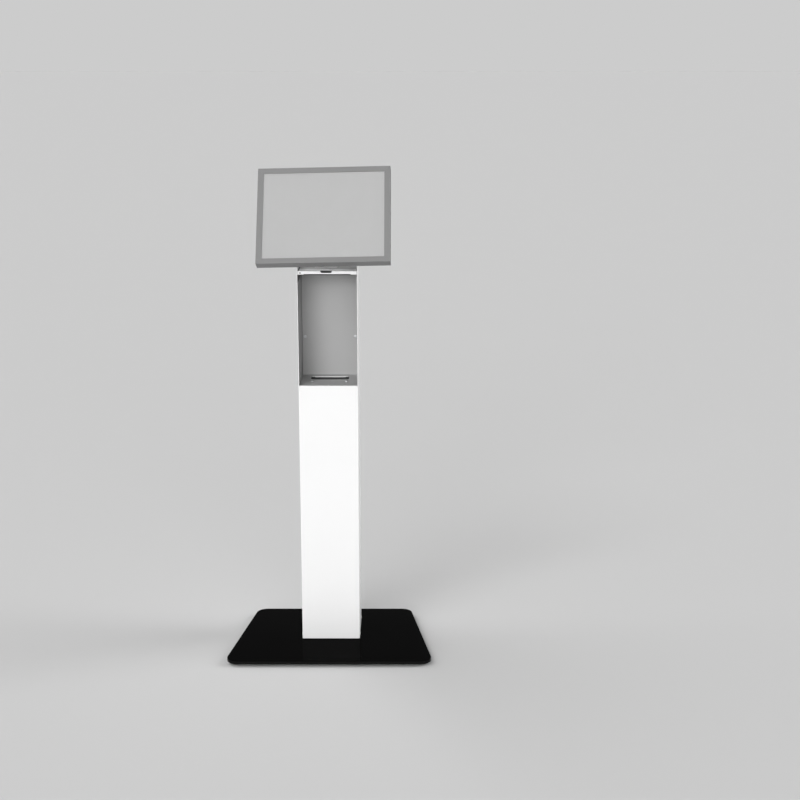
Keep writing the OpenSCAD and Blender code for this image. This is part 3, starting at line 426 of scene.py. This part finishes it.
# Sheet and block pieces, with the width in mm of their eased edges
edge_widths = {
    "base_plate": 0.8,
    "foot_bracket": 0.4,
    "column_shell": 0.35,
    "rear_cover": 0.35,
    "niche_shelf": 0.35,
    "shelf_rail": 0.3,
    "niche_back_panel": 0.35,
    "top_plate": 0.12,
    "neck_bracket": 0.5,
    "tilt_block": 0.8,
    "head_bracket": 0.4,
    "rear_shell": 0.3,
    "front_bezel": 0.3,
    "tablet_tray": 0.25,
    "tablet_pads": 0.4,
    "tablet_body": 0.3,
    "tablet_battery": 0.5,
    "tablet_board": 0.15,
    "display_panel": 0.1,
    "cover_glass": 0.15,
    "power_button": 0.15,
    "volume_up_button": 0.15,
    "volume_down_button": 0.15,
}
eased_pieces = {node: eased(node, width * MM) for node, width in edge_widths.items()}


# Painted shade and painted light that only some faces of a piece have

# The share of a face's normal along an axis, from nearly all of it to hardly any
NEARLY = 0.7
MOSTLY = 0.5
HARDLY = 0.3


def coat_faces(node, chosen, finish="painted_shade_coat"):
    """The faces for which chosen(middle, normal) is true get another finish than the node's own, the painted
    shade unless another is given
    """
    mesh = eased_pieces[node].data
    mesh.materials.append(finishes[finish])
    for face in mesh.polygons:
        if chosen(face.center, face.normal):
            face.material_index = len(mesh.materials) - 1


def on_the_rim(middle, normal):
    """The plate's edge all round"""
    return abs(normal.z) < HARDLY


def in_the_shell(middle, normal):
    """Inside the column's walls, which leaves their outer faces and edges white"""
    between_walls = abs(middle.x) < COLUMN_HALF - HALF_SHEET
    faces_inward = normal.x * middle.x < -MOSTLY * abs(middle.x)
    return between_walls and (faces_inward or middle.y > COLUMN_FRONT + HALF_SHEET)


def not_the_cutout_lip(middle, normal):
    """The niche's floor without the turned-down edge of its cut-out"""
    return not (normal.y < -NEARLY and middle.z > NICHE_FLOOR - CUTOUT_LIP)


def everywhere(middle, normal):
    """The whole piece"""
    return True


def to_the_front(middle, normal):
    """The side that faces the kiosk's front"""
    return normal.y < -MOSTLY


def behind_the_lip(middle, normal):
    """The top plate without its lip and the bend above it, which keep the white coat; the rest takes the
    head's painted shadow
    """
    return middle.y > COLUMN_FRONT + LIP_BEND


def in_the_slot(middle, normal):
    """The slot's far edge, which faces the front from behind the lip and takes a painted shade"""
    behind_the_sheet = COLUMN_FRONT + 2 * HALF_SHEET < middle.y
    return to_the_front(middle, normal) and behind_the_sheet and middle.y < COLUMN_FRONT + SLOT_REACH


# Painted shade on the insides and the top plate, a painted light rim on the base plate and painted shade in
# the slot
coat_faces("base_plate", on_the_rim, "plate_rim_painted_light")
coat_faces("column_shell", in_the_shell)
coat_faces("niche_shelf", not_the_cutout_lip)
coat_faces("niche_back_panel", everywhere)
coat_faces("rear_cover", to_the_front)
coat_faces("top_plate", behind_the_lip)
coat_faces("top_plate", in_the_slot, "slot_painted_shade")


# Turned and hexagonal pieces
# Each tree shapes a grid into one turned piece, ring by ring, and sets it on every point it is given.

COLUMNS = 48
SIXTH = math.pi / 3
CLOSING = 0.002 * MM
SPIN_SEED = 11
# How hexagonal a ring is, from a circle to six full corners
ROUND = 0.0
HEXAGON = 1.0


def pick_ring(tree, ring, values):
    """The value that belongs to the ring with this number"""
    switch = tree.nodes.new("GeometryNodeIndexSwitch")
    switch.data_type = "FLOAT"
    while len(switch.index_switch_items) < len(values):
        switch.index_switch_items.new()
    tree.links.new(ring, switch.inputs["Index"])
    for number, value in enumerate(values):
        slot = switch.inputs[1 + number]
        if isinstance(value, (int, float)):
            slot.default_value = value
        else:
            tree.links.new(value, slot)
    return switch.outputs[0]


def turned_shape(tree, rings):
    """One closed piece about z, from rings of radius, height and how hexagonal each is"""
    grid = tree.nodes.new("GeometryNodeMeshGrid")
    grid.inputs["Size X"].default_value = 1.0
    grid.inputs["Size Y"].default_value = 1.0
    grid.inputs["Vertices X"].default_value = len(rings)
    grid.inputs["Vertices Y"].default_value = COLUMNS + 1
    place = tree.nodes.new("GeometryNodeInputPosition")
    split = tree.nodes.new("ShaderNodeSeparateXYZ")
    tree.links.new(place.outputs[0], split.inputs[0])
    ring = calc(tree, "ROUND", times(tree, plus(tree, split.outputs["X"], 0.5), len(rings) - 1))
    turn = times(tree, plus(tree, split.outputs["Y"], 0.5), 2 * math.pi)
    from_flat = less(tree, calc(tree, "FLOORED_MODULO", turn, SIXTH), SIXTH / 2)
    corner = calc(tree, "DIVIDE", 1.0, calc(tree, "COSINE", from_flat))
    share = pick_ring(tree, ring, [six for radius, height, six in rings])
    factor = plus(tree, 1.0, times(tree, share, less(tree, corner, 1.0)))
    reach = times(tree, pick_ring(tree, ring, [radius for radius, height, six in rings]), factor)
    join = tree.nodes.new("ShaderNodeCombineXYZ")
    tree.links.new(times(tree, reach, calc(tree, "COSINE", turn)), join.inputs["X"])
    tree.links.new(times(tree, reach, calc(tree, "SINE", turn)), join.inputs["Y"])
    tree.links.new(pick_ring(tree, ring, [height for radius, height, six in rings]), join.inputs["Z"])
    shape = tree.nodes.new("GeometryNodeSetPosition")
    tree.links.new(grid.outputs["Mesh"], shape.inputs["Geometry"])
    tree.links.new(join.outputs[0], shape.inputs["Position"])
    closed = tree.nodes.new("GeometryNodeMergeByDistance")
    closed.inputs["Distance"].default_value = CLOSING
    tree.links.new(shape.outputs[0], closed.inputs["Geometry"])
    return closed.outputs[0]


def turned_tree(name, sizes, make_rings):
    """A tree that sets one turned piece on each point, spun by chance about its own axis"""
    tree = bpy.data.node_groups.new(name, "GeometryNodeTree")
    tree.interface.new_socket("Points", in_out="INPUT", socket_type="NodeSocketGeometry")
    for label in sizes:
        tree.interface.new_socket(label, in_out="INPUT", socket_type="NodeSocketFloat")
    tree.interface.new_socket("Finish", in_out="INPUT", socket_type="NodeSocketMaterial")
    tree.interface.new_socket("Pieces", in_out="OUTPUT", socket_type="NodeSocketGeometry")
    given = tree.nodes.new("NodeGroupInput")
    result = tree.nodes.new("NodeGroupOutput")
    shape = turned_shape(tree, make_rings(tree, {label: given.outputs[label] for label in sizes}))

    facing = tree.nodes.new("GeometryNodeInputNamedAttribute")
    facing.data_type = "QUATERNION"
    facing.inputs["Name"].default_value = "facing"
    # Of the chance node's float sockets, input 3 is the highest value and output 1 the result
    chance = tree.nodes.new("FunctionNodeRandomValue")
    chance.data_type = "FLOAT"
    chance.inputs[3].default_value = 2 * math.pi
    chance.inputs["Seed"].default_value = SPIN_SEED
    spin = tree.nodes.new("FunctionNodeAxisAngleToRotation")
    spin.inputs["Axis"].default_value = (0, 0, 1)
    tree.links.new(chance.outputs[1], spin.inputs["Angle"])
    turned = tree.nodes.new("FunctionNodeRotateRotation")
    turned.rotation_space = "LOCAL"
    tree.links.new(facing.outputs[0], turned.inputs[0])
    tree.links.new(spin.outputs[0], turned.inputs[1])
    copies = tree.nodes.new("GeometryNodeInstanceOnPoints")
    tree.links.new(given.outputs["Points"], copies.inputs["Points"])
    tree.links.new(shape, copies.inputs["Instance"])
    tree.links.new(turned.outputs[0], copies.inputs["Rotation"])
    real = tree.nodes.new("GeometryNodeRealizeInstances")
    tree.links.new(copies.outputs[0], real.inputs[0])
    finish = tree.nodes.new("GeometryNodeSetMaterial")
    tree.links.new(real.outputs[0], finish.inputs["Geometry"])
    tree.links.new(given.outputs["Finish"], finish.inputs["Material"])
    tree.links.new(finish.outputs[0], result.inputs["Pieces"])
    return tree


# Shares of the shank's, the socket's and the head's own sizes
TIP_WIDTH = 0.72
TIP_LENGTH = 0.35
MOUTH_WIDTH = 1.12
MOUTH_SHAPE = 0.6
MOUTH_DEPTH = 0.1
SOCKET_POINT = 0.3
PAN_SEAT_WIDTH = 0.96
PAN_SEAT_HEIGHT = 0.08
PAN_CROWN_WIDTH = 0.62
PAN_CROWN_HEIGHT = 0.42
# Angles up the pan head's round edge, in radians
PAN_EDGE = (0, 0.4, 0.8, 1.15, 1.45)
FLAT_RIM_WIDTH = 0.985
FLAT_RIM_LOW = -0.09
FLAT_RIM_HIGH = -0.03
FLAT_TOP_WIDTH = 0.96


def shank_rings(tree, size, top):
    """From the tip of a screw's shank up to a height"""
    shank = size["Shank radius"]
    tip = times(tree, size["Shank length"], -1.0)
    return [
        (0.0, tip, ROUND),
        (times(tree, shank, TIP_WIDTH), tip, ROUND),
        (shank, plus(tree, tip, times(tree, shank, TIP_LENGTH)), ROUND),
        (shank, top, ROUND),
    ]


def socket_rings(tree, size, top):
    """A hexagon socket that goes down from the top of a head"""
    half = size["Socket radius"]
    floor = less(tree, top, size["Socket depth"])
    return [
        (times(tree, half, MOUTH_WIDTH), top, MOUTH_SHAPE),
        (half, less(tree, top, times(tree, half, MOUTH_DEPTH)), HEXAGON),
        (half, floor, HEXAGON),
        (0.0, less(tree, floor, times(tree, half, SOCKET_POINT)), ROUND),
    ]


def pan_rings(tree, size):
    """A pan-head screw whose head stands on z = 0"""
    head = size["Head radius"]
    height = size["Head height"]
    rings = shank_rings(tree, size, 0.0)
    rings.append((times(tree, head, PAN_SEAT_WIDTH), 0.0, ROUND))
    rings.append((head, times(tree, height, PAN_SEAT_HEIGHT), ROUND))
    for angle in PAN_EDGE:
        across = PAN_CROWN_WIDTH + (1 - PAN_CROWN_WIDTH) * math.cos(angle)
        up = PAN_CROWN_HEIGHT + (1 - PAN_CROWN_HEIGHT) * math.sin(angle)
        rings.append((times(tree, head, across), times(tree, height, up), ROUND))
    return rings + socket_rings(tree, size, height)


def flat_rings(tree, size):
    """A countersunk screw whose flat top is at z = 0"""
    head = size["Head radius"]
    height = size["Head height"]
    rim = times(tree, head, FLAT_RIM_WIDTH)
    rings = shank_rings(tree, size, times(tree, height, -1.0))
    rings.append((rim, times(tree, height, FLAT_RIM_LOW), ROUND))
    rings.append((rim, times(tree, height, FLAT_RIM_HIGH), ROUND))
    rings.append((times(tree, head, FLAT_TOP_WIDTH), 0.0, ROUND))
    return rings + socket_rings(tree, size, 0.0)


# Shares of the nut's half width, bore and height
NUT_FACE_WIDTH = 0.96
NUT_MOUTH_WIDTH = 1.12
NUT_MOUTH_DEPTH = 0.1
NUT_CORNER_START = 0.10
NUT_CORNER_END = 0.16
NUT_CORNER_SHAPE = 0.85


def nut_rings(tree, size):
    """A hexagon nut on z = 0, with chamfered corners and bore"""
    half = size["Half width"]
    height = size["Height"]
    bore = size["Bore radius"]
    face = times(tree, half, NUT_FACE_WIDTH)
    mouth = times(tree, bore, NUT_MOUTH_WIDTH)
    return [
        (mouth, 0.0, ROUND),
        (face, 0.0, ROUND),
        (half, times(tree, height, NUT_CORNER_START), NUT_CORNER_SHAPE),
        (half, times(tree, height, NUT_CORNER_END), HEXAGON),
        (half, times(tree, height, 1 - NUT_CORNER_END), HEXAGON),
        (half, times(tree, height, 1 - NUT_CORNER_START), NUT_CORNER_SHAPE),
        (face, height, ROUND),
        (mouth, height, ROUND),
        (bore, times(tree, height, 1 - NUT_MOUTH_DEPTH), ROUND),
        (bore, times(tree, height, NUT_MOUTH_DEPTH), ROUND),
        (mouth, 0.0, ROUND),
    ]


def all_round(outline):
    """Rings without corners, from their radius and height"""
    return [(radius, height, ROUND) for radius, height in outline]


# The round on a washer's edges, as a share of its height
WASHER_ROUND = 0.18


def washer_rings(tree, size):
    """A plain washer on z = 0 with a small round on each edge"""
    outer = size["Outer radius"]
    bore = size["Bore radius"]
    height = size["Height"]
    ease = times(tree, height, WASHER_ROUND)
    flat_start = plus(tree, bore, ease)
    flat_end = less(tree, outer, ease)
    upper = less(tree, height, ease)
    return all_round([
        (bore, ease),
        (flat_start, 0.0),
        (flat_end, 0.0),
        (outer, ease),
        (outer, upper),
        (flat_end, height),
        (flat_start, height),
        (bore, upper),
        (bore, ease),
    ])


# The foot's rounded tread, as mm in from its side and up from the floor
FOOT_TREAD = ((1.6, 0.0), (0.8, 0.2), (0.2, 0.8), (0.0, 1.6))
# Its upper edge, as mm in from its side and down from its top
FOOT_SHOULDER = ((0.0, 1.2), (0.5, 0.3), (0.9, 0.0))
RECESS_CHAMFER = 0.3 * MM
RECESS_CONE = 3.0 * MM


def foot_rings(tree, size):
    """A rubber foot on z = 0 with a rounded tread and a recessed hole for its screw"""
    outer = size["Outer radius"]
    height = size["Height"]
    bore = size["Bore radius"]
    recess = size["Recess radius"]
    depth = size["Recess depth"]
    outline = [
        (bore, height),
        (bore, plus(tree, depth, RECESS_CONE)),
        (recess, depth),
        (recess, RECESS_CHAMFER),
        (plus(tree, recess, RECESS_CHAMFER), 0.0),
    ]
    for inset, up in FOOT_TREAD:
        outline.append((less(tree, outer, inset * MM), up * MM))
    for inset, drop in FOOT_SHOULDER:
        outline.append((less(tree, outer, inset * MM), less(tree, height, drop * MM)))
    outline.append((bore, height))
    return all_round(outline)


# The grommet's lower edges, as shares of a flange's height: out from its bore, or in from its side, and up
GROMMET_BORE = ((0.0, 0.4), (0.15, 0.1), (0.4, 0.0))
GROMMET_SIDE = ((0.5, 0.0), (0.15, 0.15), (0.0, 0.5), (0.0, 0.9), (0.1, 1.0))


def grommet_rings(tree, size):
    """A grommet on z = 0 with two rounded flanges and a groove between them"""
    flange = size["Flange radius"]
    bore = size["Bore radius"]
    thick = size["Flange height"]
    height = size["Height"]
    lower = []
    for out, up in GROMMET_BORE:
        lower.append((plus(tree, bore, times(tree, thick, out)), times(tree, thick, up)))
    for inset, up in GROMMET_SIDE:
        lower.append((less(tree, flange, times(tree, thick, inset)), times(tree, thick, up)))
    lower.append((size["Groove radius"], thick))
    upper = [(radius, less(tree, height, up)) for radius, up in reversed(lower)]
    return all_round([*lower, *upper, lower[0]])


screw_sizes = ("Head radius", "Head height", "Shank radius", "Shank length", "Socket radius", "Socket depth")
nut_sizes = ("Half width", "Height", "Bore radius")
washer_sizes = ("Outer radius", "Height", "Bore radius")
foot_sizes = ("Outer radius", "Height", "Bore radius", "Recess radius", "Recess depth")
grommet_sizes = ("Flange radius", "Groove radius", "Bore radius", "Flange height", "Height")
trees = {
    "pan": turned_tree("pan_head_screw", screw_sizes, pan_rings),
    "flat": turned_tree("countersunk_screw", screw_sizes, flat_rings),
    "nut": turned_tree("hexagon_nut", nut_sizes, nut_rings),
    "ring": turned_tree("plain_washer", washer_sizes, washer_rings),
    "foot": turned_tree("rubber_foot", foot_sizes, foot_rings),
    "grommet": turned_tree("rubber_grommet", grommet_sizes, grommet_rings),
}


def solids(node):
    """The points of each separate solid of a node, always in the same order"""
    work = whole_mesh(node)
    taken = set()
    found = []
    for start in work.verts:
        if start in taken:
            continue
        taken.add(start)
        waiting = [start]
        cloud = []
        while waiting:
            point = waiting.pop()
            cloud.append(point.co.copy())
            for link in point.link_edges:
                other = link.other_vert(point)
                if other not in taken:
                    taken.add(other)
                    waiting.append(other)
        found.append(cloud)
    work.free()
    return found


def seat_of(kind, sizes, along):
    """Where a turned piece's z = 0 comes to lie along its axis"""
    if kind == "flat":
        return max(along)
    if kind == "pan":
        return max(along) - sizes["Head height"] * MM
    return min(along) + sizes.get("Clearance", 0) * MM


def set_in_place(node, kind, axes, sizes):
    """Turned pieces in the place of each of the node's solids; axes gives the way each one faces"""
    points = []
    turns = []
    for cloud in solids(node):
        axis = Vector(axes(cloud)).normalized()
        middle = sum(cloud, Vector()) / len(cloud)
        along = [(point - middle).dot(axis) for point in cloud]
        points.append(middle + axis * seat_of(kind, sizes, along))
        turns.append(axis.to_track_quat("Z", "Y"))
    mesh = bpy.data.meshes.new("places")
    mesh.from_pydata(points, [], [])
    ways = mesh.attributes.new("facing", "QUATERNION", "POINT")
    for number, turn in enumerate(turns):
        ways.data[number].value = turn
    holder = in_scene("holder", mesh)
    maker = holder.modifiers.new("maker", "NODES")
    maker.node_group = trees[kind]
    for item in trees[kind].interface.items_tree:
        if item.in_out == "INPUT" and item.name in sizes:
            maker[item.identifier] = sizes[item.name] * MM
        if item.in_out == "INPUT" and item.name == "Finish":
            maker[item.identifier] = finishes[slot_of[node]]
    piece = baked(holder, node + "_turned")
    work = bmesh.new()
    work.from_mesh(piece.data)
    bmesh.ops.recalc_face_normals(work, faces=work.faces)
    work.to_mesh(piece.data)
    work.free()
    smooth(piece.data)
    piece.data.set_sharp_from_angle(angle=CRISP_ANGLE)
    dress(piece, node)


# The head leans back about the tilt axis and is turned a little about the swivel axis
HEAD_LEAN = math.radians(29)
HEAD_TURN = math.radians(-3)
lean = Matrix.Rotation(-HEAD_LEAN, 3, "X")
head_turned = lean @ Matrix.Rotation(HEAD_TURN, 3, "Z")
head_back = head_turned @ Vector((0, 1, 0))
head_up = head_turned @ Vector((0, 0, 1))
head_side = head_turned @ Vector((1, 0, 0))


def facing(direction):
    """The same direction for every solid"""
    return lambda cloud: direction


def away_from_middle(cloud):
    """Left or right, on the side where the solid is"""
    return (1 if sum(point.x for point in cloud) > 0 else -1, 0, 0)


def length_along(cloud, way):
    """How far a solid goes along a direction"""
    along = [point.dot(way) for point in cloud]
    return max(along) - min(along)


def bezel_screw_facing(cloud):
    """Up the face for the screws on the head's top edge, and outwards for those down its sides"""
    if length_along(cloud, head_up) >= length_along(cloud, head_side):
        return head_up
    middle = sum(cloud, Vector()) / len(cloud)
    return head_side if middle.x > 0 else -head_side


# The sizes of turned pieces are in mm, and a hair is what a washer leaves free on each face
HAIR = 0.02


def screw(*sizes):
    """A head's radius and height, a shank's radius and length, and a socket's radius and depth"""
    return dict(zip(screw_sizes, sizes))


def nut(*sizes):
    """Half the width across a nut's flats, its height and its bore's radius"""
    return dict(zip(nut_sizes, sizes))


def washer(outer, height, bore):
    """A washer that clears its neighbours by a hair on both faces"""
    return {"Outer radius": outer, "Height": height - 2 * HAIR, "Bore radius": bore, "Clearance": HAIR}


def foot(*sizes):
    """A foot's radius, height and bore radius, and its recess's radius and depth"""
    return dict(zip(foot_sizes, sizes))


def grommet(*sizes):
    """A grommet's flange, groove and bore radius, the height of a flange and the whole height"""
    return dict(zip(grommet_sizes, sizes))


down = facing((0, 0, -1))
up = facing((0, 0, 1))
back = facing((0, 1, 0))
forward = facing((0, -1, 0))
right = facing((1, 0, 0))
up_the_head = facing(head_up)
behind_the_head = facing(head_back)
turned_pieces = [
    ("foot_screws", "flat", down, screw(4.8, 2.5, 2.5, 10.5, 1.7, 1.6)),
    ("base_bolts", "flat", down, screw(7.5, 4.2, 4, 21.1, 2.9, 2.6)),
    ("column_foot_screws", "pan", away_from_middle, screw(3.6, 1.0, 2, 6.0, 1.3, 0.8)),
    ("rear_cover_screws", "pan", back, screw(3.6, 2.0, 2, 4.5, 1.4, 1.2)),
    ("shelf_screws", "pan", up, screw(3.6, 2.0, 2, 4.5, 1.4, 1.2)),
    ("niche_back_screws", "pan", forward, screw(3.6, 2.0, 2, 4.5, 1.4, 1.2)),
    ("neck_bolts", "pan", up, screw(5.2, 3.2, 3, 13.1, 2.1, 2.0)),
    ("vesa_screws", "pan", behind_the_head, screw(3.6, 2.0, 2, 10.5, 1.4, 1.2)),
    ("bezel_screws", "flat", bezel_screw_facing, screw(2.75, 1.2, 1.5, 3.25, 1.0, 0.8)),
    ("tilt_pin", "pan", right, screw(6.4, 5.0, 4, 60.1, 2.9, 3.0)),
    ("swivel_pin", "pan", up_the_head, screw(6.4, 4.0, 4, 44.5, 2.9, 2.6)),
    ("base_nuts", "nut", up, nut(6.5, 6.5, 4.05)),
    ("neck_nuts", "nut", up, nut(5.0, 5.0, 3.05)),
    ("swivel_nut", "nut", up_the_head, nut(6.5, 6.5, 4.05)),
    ("base_washers", "ring", up, washer(8, 1.6, 4.4)),
    ("neck_washers", "ring", up, washer(6, 1.6, 3.4)),
    ("tilt_washers", "ring", right, washer(12, 1.0, 4.05)),
    ("swivel_washers", "ring", up_the_head, washer(9, 1.0, 4.05)),
    ("rubber_feet", "foot", up, foot(14, 5.5, 2.9, 5.2, 1.5)),
    ("cable_grommet", "grommet", back, grommet(14, 10.9, 7, 2, 5.5)),
    ("head_grommet", "grommet", behind_the_head, grommet(11, 7.9, 5, 2, 5.5)),
]
for node, kind, axes, sizes in turned_pieces:
    set_in_place(node, kind, axes, sizes)

# Every node's own mesh has its finish too, which shows where nothing replaces it
for node, solid in nodes.items():
    solid.data.materials.clear()
    solid.data.materials.append(finishes[slot_of[node]])


# Studio

# The photograph's background tone, and the floor's own paint that gives it under these lamps
BACKDROP_LEVEL = 0.604
FLOOR_ALBEDO = 0.63
FLOOR_SPREAD = 0.002
FLOOR_CLOUDS = 1.5
FLOOR_ROUGHNESS = 0.9
# Half the floor's width, in metres
FLOOR_REACH = 300.0

corners = [(x * FLOOR_REACH, y * FLOOR_REACH, 0) for x, y in ((-1, -1), (1, -1), (1, 1), (-1, 1))]
floor_mesh = bpy.data.meshes.new("studio_floor")
floor_mesh.from_pydata(corners, [], [(0, 1, 2, 3)])
floor = in_scene("studio_floor", floor_mesh)
floor_material, floor_tree, floor_shader, floor_place = shader_tree("studio_floor")
vary(floor_tree, floor_shader, "Base Color", grain(floor_tree, floor_place, FLOOR_CLOUDS),
     grey(FLOOR_ALBEDO), grey(FLOOR_ALBEDO + FLOOR_SPREAD))
floor_shader.inputs["Roughness"].default_value = FLOOR_ROUGHNESS
floor_shader.inputs["Specular IOR Level"].default_value = 0.0
floor_mesh.materials.append(floor_material)


def lamp(name, power, azimuth, elevation, spread):
    """A sun from this compass direction: 0 is in front of the kiosk, 90 is on the picture's right"""
    light = bpy.data.lights.new(name, "SUN")
    light.energy = power
    light.angle = math.radians(spread)
    holder = in_scene(name, light)
    turn = math.radians(azimuth)
    rise = math.radians(elevation)
    source = Vector((math.sin(turn) * math.cos(rise), -math.cos(turn) * math.cos(rise), math.sin(rise)))
    holder.rotation_euler = source.to_track_quat("Z", "Y").to_euler()


# Power, compass direction, height above the horizon and apparent size in degrees
lamps = {
    "key": (0.64, -35, 45, 20),
    "left": (0.30, -60, 15, 40),
    "front": (1.16, 0, 12, 60),
    "front_low": (0.46, 0, 4, 40),
    "front_narrow": (0.66, -12, 12, 24),
    "front_left": (0.30, -22, 18, 24),
    "right": (1.36, 95, 25, 30),
    "left_rear": (1.60, -120, 35, 60),
    "top": (0.40, 180, 85, 40),
}
for name, settings in lamps.items():
    lamp(name, *settings)

# The air lights nothing, and shows the background tone to the camera, in mirrors and through glass
world = bpy.data.worlds.new("studio_air")
bpy.context.scene.world = world
world.use_nodes = True
air = world.node_tree
dark = air.nodes["Background"]
dark.inputs["Color"].default_value = (0, 0, 0, 1)
backdrop = air.nodes.new("ShaderNodeBackground")
backdrop.inputs["Color"].default_value = (*grey(BACKDROP_LEVEL), 1)
path = air.nodes.new("ShaderNodeLightPath")
off_or_through = calc(air, "MAXIMUM", path.outputs["Is Glossy Ray"], path.outputs["Is Transmission Ray"])
showing = calc(air, "MAXIMUM", path.outputs["Is Camera Ray"], off_or_through)
choose = air.nodes.new("ShaderNodeMixShader")
air.links.new(showing, choose.inputs[0])
air.links.new(dark.outputs[0], choose.inputs[1])
air.links.new(backdrop.outputs[0], choose.inputs[2])
air.links.new(choose.outputs[0], air.nodes["World Output"].inputs["Surface"])

# Camera, at the place that was fitted to the photograph
SENSOR_WIDTH = 36.0
LENS = 64.15
EYE = (0.1584, -3.105, 1.302)
# Degrees below the horizon
LOOKS_DOWN = 13.23

camera_data = bpy.data.cameras.new("photo_view")
camera_data.lens = LENS
camera_data.sensor_width = SENSOR_WIDTH
camera = in_scene("photo_view", camera_data)
camera.location = EYE
camera.rotation_euler = (math.radians(90 - LOOKS_DOWN), 0, 0)
bpy.context.scene.camera = camera
bpy.context.scene.view_settings.view_transform = "Standard"
